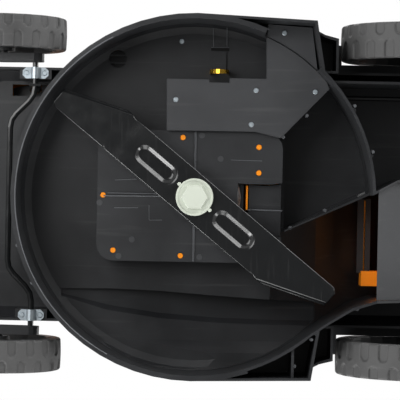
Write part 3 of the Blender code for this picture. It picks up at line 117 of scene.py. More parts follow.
# %% [markdown]
# Moulded plastic takes the grain of its steel mould. Here that is a fine noise on the bump, with slow patches of
# colour and gloss where the melt cooled unevenly, and faint rubs. The grain of the real part is about 0.3 mm. It is
# drawn at 2 mm, so that it still shows at the size of a picture.


# %% Moulded plastic
def moulded(name, hex_colour, roughness, grain_mm=2.0, bump=0.12, patch=0.10, rub=0.06, specular=0.5):
    """A moulded thermoplastic with grain, patches and rubs."""
    material, tree, shader = blank(name)
    place = put(tree, "ShaderNodeTexCoord").outputs["Object"]
    grain = put(tree, "ShaderNodeTexNoise", {"Vector": place, "Scale": 1000 / grain_mm, "Detail": 3.0})
    slow = put(tree, "ShaderNodeTexNoise", {"Vector": place, "Scale": 14.0, "Detail": 4.0, "Roughness": 0.6})
    drawn = put(tree, "ShaderNodeMapping", {"Vector": place, "Scale": (9.0, 160.0, 60.0), "Rotation": (0, 0, 0.6)})
    streak = put(tree, "ShaderNodeTexNoise", {"Vector": drawn.outputs[0], "Scale": 1.0, "Detail": 5.0})
    rubbed = put(tree, "ShaderNodeMapRange", {"Value": streak.outputs["Fac"], "From Min": 0.60, "From Max": 0.78})
    base = linear(hex_colour)
    lighter = [min(1.0, c * (1 + 2.2 * patch) + 0.012 * patch) for c in base[:3]]
    darker = [c * (1 - 1.6 * patch) for c in base[:3]]
    ramp = put(tree, "ShaderNodeValToRGB", {"Fac": slow.outputs["Fac"]})
    ramp.color_ramp.elements[0].position = 0.30
    ramp.color_ramp.elements[0].color = (*darker, 1.0)
    ramp.color_ramp.elements[1].position = 0.72
    ramp.color_ramp.elements[1].color = (*lighter, 1.0)
    scuffed = put(tree, "ShaderNodeMix", {
        "Factor": put(tree, "ShaderNodeMath", {0: rubbed.outputs[0], 1: rub}, operation="MULTIPLY").outputs[0],
        "A": ramp.outputs["Color"], "B": (0.30, 0.30, 0.29, 1.0),
    }, data_type="RGBA")
    gloss = put(tree, "ShaderNodeMapRange", {
        "Value": slow.outputs["Fac"], "From Min": 0.3, "From Max": 0.7,
        "To Min": roughness - 0.05, "To Max": roughness + 0.06,
    })
    rough = put(tree, "ShaderNodeBump", {"Height": grain.outputs["Fac"], "Strength": bump, "Distance": 0.0006})
    tree.links.new(scuffed.outputs["Result"], shader.inputs["Base Color"])
    tree.links.new(gloss.outputs[0], shader.inputs["Roughness"])
    tree.links.new(rough.outputs[0], shader.inputs["Normal"])
    shader.inputs["IOR"].default_value = 1.49
    shader.inputs["Specular IOR Level"].default_value = specular
    return material


black_polypropylene = moulded("black_polypropylene", "#222325", 0.40, patch=0.14, specular=0.42)
tray_polypropylene = moulded("charcoal_polypropylene", "#262729", 0.44, patch=0.10, specular=0.42)
cover_abs = moulded("grey_abs", "#3a3b3d", 0.42, patch=0.06, specular=0.42)
orange_abs = moulded("orange_abs", "#f99010", 0.36, patch=0.04, rub=0.0, bump=0.06)
tread_plastic = moulded("grey_tread_polyethylene", "#414141", 0.60, grain_mm=3.0, bump=0.3, patch=0.12, rub=0.10)
rim_plastic = moulded("black_rim_polypropylene", "#1f2021", 0.45)
natural_nylon = moulded("natural_nylon", "#c1c7ba", 0.42, patch=0.02, rub=0.0, bump=0.05)
soft_foam = moulded("black_eva_foam", "#1b1b1b", 0.85, grain_mm=2.4, bump=0.6, patch=0.1, rub=0.0, specular=0.2)
# The paler black is a painted highlight: ribs, edges and pin tops take it so that they look lit, as if they caught the
# light.
highlight_painted_black = moulded("highlight_painted_black_polypropylene", "#55575a", 0.45, patch=0.10, specular=0.42)
dark_abs = moulded("dark_grey_abs", "#37393b", 0.44, patch=0.06)
print("plastics", len(bpy.data.materials))

# %% [markdown]
# Metals keep the default IOR. The blade and the tubes are steel under a black coat, so they are not metallic: the
# coat is what is seen, smooth and a little glossy, with the rolled steel's faint waves under it. Bare metals are the
# zinc plated clips and screws, the bright pins and the brass strip.


# %% Coated and bare metals
def coated(name, hex_colour, roughness, scratch=0.0):
    """Steel under a baked coat; scratch shows fine lines of wear across the arms."""
    material, tree, shader = blank(name)
    place = put(tree, "ShaderNodeTexCoord").outputs["Object"]
    wave = put(tree, "ShaderNodeTexNoise", {"Vector": place, "Scale": 60.0, "Detail": 2.0})
    drawn = put(tree, "ShaderNodeMapping", {"Vector": place, "Scale": (240.0, 18.0, 40.0), "Rotation": (0, 0, 0.9)})
    line = put(tree, "ShaderNodeTexNoise", {"Vector": drawn.outputs[0], "Scale": 1.0, "Detail": 6.0})
    worn = put(tree, "ShaderNodeMapRange", {"Value": line.outputs["Fac"], "From Min": 0.58, "From Max": 0.80})
    amount = put(tree, "ShaderNodeMath", {0: worn.outputs[0], 1: scratch}, operation="MULTIPLY")
    colour = put(tree, "ShaderNodeMix", {
        "Factor": amount.outputs[0], "A": linear(hex_colour), "B": (0.25, 0.25, 0.25, 1.0),
    }, data_type="RGBA")
    gloss = put(tree, "ShaderNodeMapRange", {
        "Value": wave.outputs["Fac"], "From Min": 0.3, "From Max": 0.7,
        "To Min": roughness - 0.04, "To Max": roughness + 0.06,
    })
    rough = put(tree, "ShaderNodeBump", {"Height": wave.outputs["Fac"], "Strength": 0.08, "Distance": 0.001})
    tree.links.new(colour.outputs["Result"], shader.inputs["Base Color"])
    tree.links.new(gloss.outputs[0], shader.inputs["Roughness"])
    tree.links.new(rough.outputs[0], shader.inputs["Normal"])
    return material


def bare(name, hex_colour, roughness, spangle=0.15):
    """A bare or plated metal, with the mottle of its plating."""
    material, tree, shader = blank(name)
    place = put(tree, "ShaderNodeTexCoord").outputs["Object"]
    cells = put(tree, "ShaderNodeTexVoronoi", {"Vector": place, "Scale": 420.0})
    colour = linear(hex_colour)
    mixed = put(tree, "ShaderNodeMix", {
        "Factor": cells.outputs["Color"], "A": colour, "B": (*[c * (1 - spangle) for c in colour[:3]], 1.0),
    }, data_type="RGBA")
    gloss = put(tree, "ShaderNodeMapRange", {
        "Value": cells.outputs["Distance"], "From Min": 0.0, "From Max": 1.0,
        "To Min": roughness, "To Max": roughness + 0.12,
    })
    tree.links.new(mixed.outputs["Result"], shader.inputs["Base Color"])
    tree.links.new(gloss.outputs[0], shader.inputs["Roughness"])
    shader.inputs["Metallic"].default_value = 1.0
    return material


blade_coat = coated("black_coated_spring_steel", "#141516", 0.20, scratch=0.05)
tube_coat = coated("black_powder_coated_tube", "#17181a", 0.38)
zinc_plate = bare("zinc_plated_steel", "#bcc6cc", 0.42)
bright_steel = bare("bright_steel", "#b9bbbd", 0.24, spangle=0.05)
brass_strip = bare("brass_strip", "#d8a93a", 0.22, spangle=0.05)
print("finishes", len(bpy.data.materials))

# %% [markdown]
# ## Give the solids their finishes
# Each solid keeps its shape and gets the finish of its real material. A table from piece to finish is easier to read
# than sixty lines, and a loop can tell when a piece was forgotten.

# %% Finish for each solid
finish_of = {
    black_polypropylene: ["deck_shell", "battery_pack_left", "battery_pack_right", "controller_box", "motor_cap",
                          "blade_carrier", "carry_handle", "switch_box", "handle_knob_left", "handle_knob_right",
                          "front_arm_left", "front_arm_right", "rear_arm_left", "rear_arm_right"],
    tray_polypropylene: ["motor_well_cover"],
    dark_abs: ["battery_hatch", "rear_flap", "cam_lever_left", "cam_lever_right", "battery_dock"],
    cover_abs: ["side_cover_plate", "corner_cover", "tunnel_floor_plate"],
    orange_abs: ["top_cover", "mulch_plug", "lever_grip", "start_button", "safety_key"],
    tread_plastic: [f"{end}_tyre_{side}" for end in ("front", "rear") for side in ("left", "right")],
    rim_plastic: [f"{end}_rim_{side}" for end in ("front", "rear") for side in ("left", "right")],
    natural_nylon: ["blade_bolt_cap"],
    soft_foam: ["handle_grip"],
    blade_coat: ["blade", "front_axle", "rear_axle", "height_lever", "height_link"],
    tube_coat: ["lower_tube_left", "lower_tube_right", "lower_brace", "upper_handle", "bail_lever"],
    zinc_plate: ["front_clip_left", "front_clip_right", "rear_clip_left", "rear_clip_right"],
    bright_steel: ["cam_bolt_left", "cam_bolt_right", "detent_spring", "flap_pin", "hatch_pin",
                   "motor_can", "rotor_shaft"],
    brass_strip: ["latch_spring"],
}
for finish, names in finish_of.items():
    for name in names:
        piece = nodes[name]
        piece.data.materials.clear()
        piece.data.materials.append(finish)
named = {name for names in finish_of.values() for name in names}
print("without a finish", sorted(set(nodes) - named))

# %% [markdown]
# ## Camera, light and floor
# The picture is taken from straight below, with the front of the mower on the left and its left side at the top. A
# long lens keeps the deck almost free of perspective: the camera is 2.3 m under the ground plane, and 2000 pixels of
# focal length on a picture 400 wide is a lens of 180 mm on a 36 mm sensor.

# %% Camera
FOCAL_PX, CAMERA_DEPTH = 2000, 2325
PICTURE_TURN = math.radians(1.14)
camera = bpy.data.objects.new("camera", bpy.data.cameras.new("camera"))
bpy.context.collection.objects.link(camera)
camera.data.lens = 180.0
camera.data.clip_start = 0.1
camera.data.clip_end = 60.0
right = Vector((-math.cos(PICTURE_TURN), math.sin(PICTURE_TURN), 0.0))
above = Vector((math.sin(PICTURE_TURN), math.cos(PICTURE_TURN), 0.0))
back = right.cross(above)
camera_place = Matrix.Translation(at(-6.6, -3.3, -CAMERA_DEPTH))
camera.matrix_world = camera_place @ Matrix((right, above, back)).transposed().to_4x4()
bpy.context.scene.camera = camera
print("camera looks along", [round(v, 2) for v in -back])

# %% [markdown]
# Black plastic shows little colour of its own: what is seen is mostly what it reflects. A dim grey world with a few
# large soft lamps gives the broad highlights of a studio. The lamps below the mower are for this picture and the ones
# above for every other side. The room is bright round the horizon and dim below and above, as a studio with white
# walls is, so an edge or a pressed hollow catches a light line and a flat black face stays black. The background is
# white for what the camera sees directly.

# %% World and lamps
world = bpy.data.worlds.new("studio")
bpy.context.scene.world = world
world.use_nodes = True
tree = world.node_tree
tree.nodes.clear()
rays = put(tree, "ShaderNodeLightPath")
up = put(tree, "ShaderNodeSeparateXYZ", {0: put(tree, "ShaderNodeTexCoord").outputs["Generated"]}).outputs["Z"]
horizon = put(tree, "ShaderNodeMapRange", {
    "Value": put(tree, "ShaderNodeMath", {0: up}, operation="ABSOLUTE").outputs[0],
    "From Min": 0.10, "From Max": 0.62, "To Min": 1.0, "To Max": 0.20,
}, interpolation_type="SMOOTHSTEP")
soft = put(tree, "ShaderNodeBackground", {"Color": (1.0, 1.0, 1.0, 1.0), "Strength": horizon.outputs[0]})
white = put(tree, "ShaderNodeBackground", {"Color": (1.0, 1.0, 1.0, 1.0), "Strength": 1.0})
mixed = put(tree, "ShaderNodeMixShader", {0: rays.outputs["Is Camera Ray"], 1: soft.outputs[0], 2: white.outputs[0]})
put(tree, "ShaderNodeOutputWorld", {"Surface": mixed.outputs[0]})


def lamp(name, place, aim, size, watts):
    """A square soft box."""
    made = bpy.data.objects.new(name, bpy.data.lights.new(name, "AREA"))
    made.data.size = size
    made.data.energy = watts
    made.location = place
    made.rotation_euler = (aim - place).to_track_quat("-Z", "Y").to_euler()
    bpy.context.collection.objects.link(made)


lamp("below_front", at(800, 450, -950), at(0, 0, 100), 0.9, 14.5)
lamp("below_right", at(250, -1900, -850), at(0, 0, 100), 1.1, 17)
lamp("below_rear", at(-1900, 900, -900), at(-200, 0, 100), 1.0, 9)
lamp("low_front_right", at(1250, -1250, -430), at(0, 0, 60), 0.55, 16)
lamp("low_rear_left", at(-1200, 1250, -430), at(0, 0, 60), 0.9, 20)
lamp("low_rear_right", at(-1250, -1250, -430), at(0, 0, 60), 0.4, 7)
lamp("above_left", at(600, 1900, 2300), at(-200, 0, 300), 1.8, 60)
lamp("above_right", at(900, -2200, 2000), at(-200, 0, 300), 1.8, 45)
lamp("above_rear", at(-2600, 200, 2200), at(-300, 0, 300), 1.6, 40)

# %% [markdown]
# The mower stands on a floor, and this picture looks up through it. So the floor is clear from below and pale from
# above, and only the camera sees it: it takes the mower's shadow and casts none.

# %% Floor
floor_mesh = bmesh.new()
bmesh.ops.create_grid(floor_mesh, x_segments=1, y_segments=1, size=8.0)
floor = bpy.data.objects.new("floor", bpy.data.meshes.new("floor"))
floor_mesh.to_mesh(floor.data)
floor_mesh.free()
floor.location = (0.0, 0.0, -0.0005)
bpy.context.collection.objects.link(floor)
paint, tree, shader = blank("pale_floor")
shader.inputs["Base Color"].default_value = linear("#e9e9e7")
shader.inputs["Roughness"].default_value = 0.8
from_below = put(tree, "ShaderNodeNewGeometry").outputs["Backfacing"]
clear = put(tree, "ShaderNodeBsdfTransparent").outputs[0]
both = put(tree, "ShaderNodeMixShader", {0: from_below, 1: shader.outputs[0], 2: clear})
tree.links.new(both.outputs[0], tree.nodes["Material Output"].inputs["Surface"])
floor.data.materials.append(paint)
floor.visible_diffuse = False
floor.visible_glossy = False
floor.visible_shadow = False
floor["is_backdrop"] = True
print("floor laid")

# %% [markdown]
# ## Shapes made in mesh code
# A few helpers make closed meshes. Every piece keeps its place in its own mesh, so its object stays at the origin.


# %% Helpers for meshes
def closed(name, shape, material, body=None, smooth=40):
    """The bmesh as a shaded object that rides on a body."""
    bmesh.ops.remove_doubles(shape, verts=shape.verts, dist=1e-6)
    bmesh.ops.recalc_face_normals(shape, faces=shape.faces)
    mesh = bpy.data.meshes.new(name)
    shape.to_mesh(mesh)
    shape.free()
    piece = bpy.data.objects.new(name, mesh)
    bpy.context.collection.objects.link(piece)
    mesh.materials.append(material)
    mesh.shade_smooth()
    mesh.set_sharp_from_angle(angle=math.radians(smooth))
    if body:
        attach(piece, body)
    return piece


def ring_of(shape, centre, across, along, radius, steps, start=0.0):
    """A circle of points in the plane of two directions, or one point where the radius is nothing."""
    if radius < 1e-7:
        return [shape.verts.new(centre)]
    turns = [start + 2 * math.pi * k / steps for k in range(steps)]
    return [shape.verts.new(centre + radius * (math.cos(t) * across + math.sin(t) * along)) for t in turns]


def turned(shape, profile, centre, axis, steps=32, start=0.0):
    """Adds a turned solid: profile is (radius, height) along the axis."""
    axis = Vector(axis).normalized()
    across = axis.orthogonal().normalized()
    along = axis.cross(across)
    rows = [ring_of(shape, centre + h * axis, across, along, r, steps, start) for r, h in profile]
    for first, second in zip(rows, rows[1:]):
        for k in range(steps):
            corners = [first[k % len(first)], first[(k + 1) % len(first)]]
            corners += [second[(k + 1) % len(second)], second[k % len(second)]]
            corners = list(dict.fromkeys(corners))
            if len(corners) > 2:
                shape.faces.new(corners)


# %% [markdown]
# ## The blade
# The real blade is one strip of spring steel, pressed between dies. Two long dimples stiffen it beside the hub, each
# arm has a shallow crank, and a wing at the back of each tip is bent up to throw the grass. It could be cut out with
# booleans, but a press moves the sheet without tearing it, so a grid of points is moved instead and then given the
# sheet's thickness.

# %% Blade
HALF_WIDTH, REACH, SHEET = 25.7, 201.0, 3.0
BLADE_UNDERSIDE = 45.0
ARM_TURN = math.radians(219.3)
DIMPLE_AT, DIMPLE_HALF, DIMPLE_EDGE, DIMPLE_WALL, DIMPLE_DEEP = 60.0, 17.5, 12.2, 6.0, 4.6
BEND_FROM, BEND_INSET, BEND_ACROSS = 118.0, 1.5, 32.5
WING, WING_TURN, WING_ROUND = 7.8, math.radians(40), 5.0
CRANK, SHARP_FROM, CORNER = 0.9, 121, 5.0


def smooth_step(value, low, high):
    """From 0 at low to 1 at high, with soft ends."""
    share = min(max((value - low) / (high - low), 0.0), 1.0)
    return share * share * (3 - 2 * share)


def dimple(u, v):
    """How far the underside is pressed up at a point of one arm: a long round-ended hollow."""
    along = max(abs(u - DIMPLE_AT) - DIMPLE_HALF, 0.0)
    edge = math.hypot(along, v)
    wall = min(max((DIMPLE_EDGE - edge) / DIMPLE_WALL, 0.0), 1.0)
    return DIMPLE_DEEP * (0.75 * wall + 0.25 * smooth_step(wall, 0.0, 1.0))


def arm_point(u, share):
    """A point of the underside: u along the arm, share from the sharp edge (0) to the trailing edge (1)."""
    bend = -HALF_WIDTH + BEND_INSET + max(u - BEND_FROM, 0.0) * BEND_ACROSS / (REACH - BEND_FROM)
    wing = WING * smooth_step(u, 110, 128)
    flat = HALF_WIDTH - bend
    run = share * (flat + wing + BEND_INSET * (1 - smooth_step(u, 104, BEND_FROM)))
    crank = CRANK * smooth_step(u, 96, 114)
    if run <= flat:
        v, rise = HALF_WIDTH - run, 0.0
    else:
        turn = min((run - flat) / WING_ROUND, 1.0) * WING_TURN * smooth_step(u, 106, 122)
        beyond = run - flat
        v = bend - beyond * math.cos(turn * 0.85)
        rise = beyond * math.sin(turn * 0.85)
    sharp = 0.9 * (1 - smooth_step(HALF_WIDTH - v, 0.0, 3.5)) if u > SHARP_FROM else 0.0
    clip = max(u - (REACH - CORNER), 0.0)
    v = min(v, HALF_WIDTH - clip)
    return u, v, BLADE_UNDERSIDE + crank + rise + sharp + dimple(u, v)


shape = bmesh.new()
columns = sorted({*np.linspace(0, REACH, 120).round(3)})
shares = np.linspace(0, 1, 44)
for angle in (ARM_TURN, ARM_TURN + math.pi):
    rows = []
    for u in columns:
        points = [arm_point(float(u), float(s)) for s in shares]
        turned_points = []
        for pu, pv, pz in points:
            x = pu * math.cos(angle) + pv * math.sin(angle)
            y = pu * math.sin(angle) - pv * math.cos(angle)
            turned_points.append(shape.verts.new(at(x, y, pz)))
        rows.append(turned_points)
    for first, second in zip(rows, rows[1:]):
        for k in range(len(shares) - 1):
            shape.faces.new((first[k], first[k + 1], second[k + 1], second[k]))
bmesh.ops.remove_doubles(shape, verts=shape.verts, dist=1e-5)
bmesh.ops.recalc_face_normals(shape, faces=shape.faces)
if sum(face.normal.z for face in shape.faces) > 0:
    bmesh.ops.reverse_faces(shape, faces=shape.faces)
mesh = bpy.data.meshes.new("pressed_blade")
shape.to_mesh(mesh)
shape.free()
pressed_blade = bpy.data.objects.new("pressed_blade", mesh)
bpy.context.collection.objects.link(pressed_blade)
mesh.materials.append(blade_coat)
thick = pressed_blade.modifiers.new("sheet", "SOLIDIFY")
thick.thickness = SHEET / 1000
thick.offset = -1.0
mesh.shade_smooth()
mesh.set_sharp_from_angle(angle=math.radians(50))
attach(pressed_blade, "cutter")
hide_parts("blade")
print("blade faces", len(mesh.polygons))

# %% [markdown]
# ## The bolt's cap
# The blade's bolt is covered by a cap of natural nylon: a flange with a raised rim, a hexagon for the fingers, and two
# small ears. A turned profile gives the flange, and the hexagon is a short prism with a chamfer.

# %% Bolt cap
cap = bmesh.new()
turned(cap, [(0.0, 0.0450), (0.0215, 0.0450), (0.0222, 0.0440), (0.0222, 0.0405), (0.0216, 0.0397), (0.0198, 0.0397),
             (0.0190, 0.0404), (0.0172, 0.0404), (0.0, 0.0404)], at(0, 0, 0), (0, 0, 1), 64)
hexagon = []
for radius, z in ((15.9, 40.8), (15.9, 37.0), (15.0, 36.0)):
    corners = [math.radians(60 * k) for k in range(6)]
    hexagon.append([cap.verts.new(at(radius * math.cos(a), radius * math.sin(a), z)) for a in corners])
for first, second in zip(hexagon, hexagon[1:]):
    for k in range(6):
        cap.faces.new((first[k - 1], first[k], second[k], second[k - 1]))
cap.faces.new(hexagon[-1])
cap.faces.new(hexagon[0][::-1])
closed("bolt_cap", cap, natural_nylon, "cutter", smooth=35)
ears = bmesh.new()
for direction in (1, -1):
    x, y = direction * 18.3, direction * 15.2
    turned(ears, [(0.0, 0.0440), (0.0022, 0.0440), (0.0022, 0.0402), (0.0016, 0.0396), (0.0, 0.0396)], at(x, y, 0),
           (0, 0, 1), 20)
closed("bolt_cap_ears", ears, natural_nylon, "cutter", smooth=35)
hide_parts("blade_bolt_cap")
print("cap on the bolt")

# %% [markdown]
# ## The tyres
# The tyres are one piece of grey plastic with two rows of grooves. Each groove runs in from the edge of the tread and
# ends in a round, and the rows are half a pitch apart, so a ridge winds between them. A tyre could be a lug repeated
# round a ring, but here the tread is one sheet of points, and each point is pushed in by how deep the groove is there.

# %% Tyres
BED_DEEP, GROOVE_DEEP, EDGE_ROUND, CROWN = 13.5, 2.0, 2.6, 0.7
COLUMNS_PER_GROOVE = 26
FRONT_INSET = 2.0  # the front tread starts this much further out than its solid does


def groove(turn_mm, inset, long, half):
    """How far inside one groove a point lies: turn_mm along the tread from its middle, inset from the edge."""
    past = inset - (long - half)
    reach = abs(turn_mm) if past < 0 else math.hypot(turn_mm, past)
    return 1 - smooth_step(reach, half - 0.5, half + 0.5)


def tread_depth(angle, y, radius, wide, lugs, longs, half):
    """The groove's depth at an angle and a distance from the inner edge."""
    deepest = 0.0
    for row, long in enumerate(longs):
        inset = y if row == 0 else wide - y
        step = 2 * math.pi / lugs
        near = (angle / step + row / 2 + 0.5) % 1.0 - 0.5
        deepest = max(deepest, groove(near * step * radius, inset, long, half))
    return GROOVE_DEEP * deepest


def tyre(name, end, side, lugs, longs, half):
    """One tyre round the axis of its node, which it stands for."""
    low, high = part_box(f"{end}_tyre_{side}")
    low, high = [v * 1000 for v in low], [v * 1000 for v in high]
    radius, wide = (high[2] - low[2]) / 2, high[1] - low[1]
    hub_x, hub_z = (high[0] + low[0]) / 2, (high[2] + low[2]) / 2
    outward = 1 if side == "left" else -1
    inner = low[1] if side == "left" else high[1]
    if end == "front":
        inner, wide = inner + outward * FRONT_INSET, wide - FRONT_INSET
    bed = radius - BED_DEEP
    columns = lugs * COLUMNS_PER_GROOVE
    across = [0.0, 0.35, 0.9, 1.8, *np.linspace(2.8, wide - 2.8, 34), wide - 1.8, wide - 0.9, wide - 0.35, wide]
    shape = bmesh.new()
    rows = []
    for k in range(columns):
        angle = 2 * math.pi * k / columns
        ring = [(bed, 0.2)]
        for y in across:
            edge = min(y, wide - y)
            crown = CROWN * ((2 * y / wide - 1) ** 2)
            shoulder = EDGE_ROUND * (1 - math.sqrt(max(0.0, 1 - (max(EDGE_ROUND - edge, 0.0) / EDGE_ROUND) ** 2)))
            sunk = tread_depth(angle, y, radius, wide, lugs, longs, half)
            ring.append((radius - crown - max(shoulder, sunk * min(1.0, 0.4 + edge)), y))
        ring.append((bed, wide - 0.2))
        rows.append([shape.verts.new((
            (hub_x + r * math.sin(angle)) / 1000, (inner + outward * y) / 1000, (hub_z - r * math.cos(angle)) / 1000,
        )) for r, y in ring])
    for k, row in enumerate(rows):
        after = rows[(k + 1) % columns]
        for j in range(len(row)):
            shape.faces.new((row[j], row[j - 1], after[j - 1], after[j]))
    piece = closed(name, shape, tread_plastic, f"{end}_wheel_{side}", smooth=50)
    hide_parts(f"{end}_tyre_{side}")


for side in ("left", "right"):
    tyre(f"front_tread_{side}", "front", side, 20, (19.5, 14.5), 5.3)
    tyre(f"rear_tread_{side}", "rear", side, 24, (21.5, 15.0), 6.0)

# %% [markdown]
# ## Screws
# The covers and the axle clips are held by plated screws with a cross recess. They repeat, so Geometry Nodes make them:
# a head is cut from a cone and two slots, and is set on every point of a small mesh. The points lie where the picture
# shows them, and a ray cast upwards finds the surface that each screw is driven into.


# %% A tree that sets a cross-headed screw on every point
def group(name, sizes):
    """An empty geometry tree with a mesh input and the named numbers as inputs."""
    made = bpy.data.node_groups.new(name, "GeometryNodeTree")
    made.interface.new_socket("Geometry", in_out="INPUT", socket_type="NodeSocketGeometry")
    for label, value in sizes.items():
        kind = "NodeSocketInt" if isinstance(value, int) else "NodeSocketFloat"
        made.interface.new_socket(label, in_out="INPUT", socket_type=kind).default_value = value
    made.interface.new_socket("Geometry", in_out="OUTPUT", socket_type="NodeSocketGeometry")
    return made, put(made, "NodeGroupInput").outputs


def finish_tree(tree, shape, material):
    """Ends a tree in real geometry of one material."""
    real = put(tree, "GeometryNodeRealizeInstances", {"Geometry": shape})
    painted = put(tree, "GeometryNodeSetMaterial", {"Geometry": real.outputs[0], "Material": material})
    put(tree, "NodeGroupOutput", {0: painted.outputs[0]})


def screw_tree(material):
    """A countersunk head with a cross recess, facing down."""
    tree, given = group("cross_headed_screw", {"Radius": 0.003, "Height": 0.0012, "Slot": 0.0009, "Seed": 3})
    inner = put(tree, "ShaderNodeMath", {0: given["Radius"], 1: 0.72}, operation="MULTIPLY").outputs[0]
    head = put(tree, "GeometryNodeMeshCone", {
        "Vertices": 20, "Radius Top": given["Radius"], "Radius Bottom": inner, "Depth": given["Height"],
    })
    long = put(tree, "ShaderNodeMath", {0: given["Radius"], 1: 1.25}, operation="MULTIPLY").outputs[0]
    arms = []
    for first, second in ((long, given["Slot"]), (given["Slot"], long)):
        size = put(tree, "ShaderNodeCombineXYZ", {0: first, 1: second, 2: given["Height"]}).outputs[0]
        arms.append(put(tree, "GeometryNodeMeshCube", {"Size": size}).outputs["Mesh"])
    cross = put(tree, "GeometryNodeJoinGeometry")
    for arm in arms:
        tree.links.new(arm, cross.inputs[0])
    low = put(tree, "GeometryNodeTransform", {"Geometry": cross.outputs[0], "Translation": (0, 0, -0.0002)})
    cut = put(tree, "GeometryNodeMeshBoolean", {0: head.outputs["Mesh"], 1: low.outputs[0]}, operation="DIFFERENCE")
    spin = put(tree, "FunctionNodeRandomValue", {"Min": (0, 0, 0), "Max": (0, 0, 1.6), "Seed": given["Seed"]},
               data_type="FLOAT_VECTOR")
    laid = put(tree, "GeometryNodeInstanceOnPoints", {
        "Points": given["Geometry"], "Instance": cut.outputs[0], "Rotation": spin.outputs[0],
    })
    finish_tree(tree, laid.outputs[0], material)
    return tree


def evaluated(piece):
    """A plain mesh of the piece with its modifiers applied."""
    return bpy.data.meshes.new_from_object(piece.evaluated_get(bpy.context.evaluated_depsgraph_get()))


def grown(name, tree, points, body, slot, edges=(), smooth=30, **sizes):
    """Runs a tree on points and keeps the result as a plain mesh that rides on a body."""
    mesh = bpy.data.meshes.new(name)
    mesh.from_pydata([tuple(p) for p in points], edges, [])
    seedling = bpy.data.objects.new(name + "_points", mesh)
    bpy.context.collection.objects.link(seedling)
    modifier = seedling.modifiers.new("grow", "NODES")
    modifier.node_group = tree
    for item in tree.interface.items_tree:
        if item.in_out == "INPUT" and item.name in sizes:
            modifier[item.identifier] = sizes[item.name]
    result = evaluated(seedling)
    bpy.data.objects.remove(seedling)
    piece = bpy.data.objects.new(name, result)
    result.name = name
    bpy.context.collection.objects.link(piece)
    result.shade_smooth()
    result.set_sharp_from_angle(angle=math.radians(smooth))
    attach(piece, body)


OPEN_LEVEL = 0.11  # metres: taken where nothing lies over a place


def surface_below(x, y):
    """The height in millimetres of the lowest surface over a place, which is the one seen from below."""
    hits = [tree.ray_cast(at(x, y, -100), Vector((0, 0, 1)))[0] for tree in trees.values()]
    return min((hit.z for hit in hits if hit), default=OPEN_LEVEL) * 1000


trees = {}
for node in ("side_cover_plate", "corner_cover", "motor_well_cover", "deck_shell", "front_clip_left",
             "front_clip_right", "rear_clip_left", "rear_clip_right", "tunnel_floor_plate"):
    mesh = nodes[node].data
    trees[node] = BVHTree.FromPolygons([v.co for v in mesh.vertices], [p.vertices for p in mesh.polygons])
screws = screw_tree(zinc_plate)
print("screw tree nodes", len(screws.nodes))

# %% Screws in the covers and the clips
COVER_SCREW_OUT, CLIP_SCREW_OUT = 0.9, 1.2  # how far a head's middle stands out of its surface
CLIP_SCREW_AWAY = 10.9
cover_screws = [(24.9, 116.5), (-71.3, 129.4), (-66.3, 88.2), (-142.4, 129.1), (19.0, 189.3), (-104.0, 198.9)]
places = [at(x, y, surface_below(x, y) - COVER_SCREW_OUT) for x, y in cover_screws]
grown("cover_screws", screws, places, "deck", "zinc_plate", Radius=0.0034, Slot=0.0011)
places = []
for end in ("front", "rear"):
    for side in ("left", "right"):
        low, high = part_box(f"{end}_clip_{side}")
        middle = (low + high) / 2
        for away in (-CLIP_SCREW_AWAY, CLIP_SCREW_AWAY):
            x, y = (middle.x - AXIS.x) * 1000 + away, middle.y * 1000
            places.append(at(x, y, surface_below(x, y) - CLIP_SCREW_OUT))
grown("clip_screws", screws, places, "deck", "zinc_plate", Radius=0.0036, Slot=0.0012, Height=0.0018)
print("screws", len(cover_screws) + len(places))

# %% [markdown]
# ## The cover over the motor's well
# The cover is a moulded pan with thin ribs, round marks where the mould's pins pushed it out, and a corner left open
# over a dark recess. The solid has all but the open corner, so a copy of it is cut there. Ribs are lines swept with a
# small round profile, and marks are low discs, so one small tree serves each of them.


# %% Trees for ribs and for round marks
AXIS_PX = (194.5, 197.1)  # the pixel at which the blade's axis shows


def rib_tree(material, name):
    """A thin rounded rib along every edge of a mesh of lines."""
    tree, given = group(name, {"Radius": 0.0006, "Sides": 8})
    curve = put(tree, "GeometryNodeMeshToCurve", {"Mesh": given["Geometry"]})
    circle = put(tree, "GeometryNodeCurvePrimitiveCircle", {"Resolution": given["Sides"], "Radius": given["Radius"]})
    swept = put(tree, "GeometryNodeCurveToMesh", {
        "Curve": curve.outputs[0], "Profile Curve": circle.outputs[0], "Fill Caps": True,
    })
    finish_tree(tree, swept.outputs[0], material)
    return tree


def mark_tree(material, name):
    """A low disc with a chamfered edge, facing down, on every point."""
    tree, given = group(name, {"Radius": 0.0035, "Height": 0.0006})
    rim = put(tree, "ShaderNodeMath", {0: given["Radius"], 1: 0.86}, operation="MULTIPLY").outputs[0]
    disc = put(tree, "GeometryNodeMeshCone", {
        "Vertices": 24, "Radius Top": given["Radius"], "Radius Bottom": rim, "Depth": given["Height"],
    })
    laid = put(tree, "GeometryNodeInstanceOnPoints", {
        "Points": given["Geometry"], "Instance": disc.outputs["Mesh"],
    })
    finish_tree(tree, laid.outputs[0], material)
    return tree


def seen(right_px, down_px, z):
    """Where a pixel of the picture lies in x and y on a level plane, all in millimetres."""
    scale = (CAMERA_DEPTH + z) / FOCAL_PX
    dx, dy = right_px - AXIS_PX[0], down_px - AXIS_PX[1]
    x = -(dx * math.cos(PICTURE_TURN) + dy * math.sin(PICTURE_TURN)) * scale
    y = (dx * math.sin(PICTURE_TURN) - dy * math.cos(PICTURE_TURN)) * scale
    return x, y


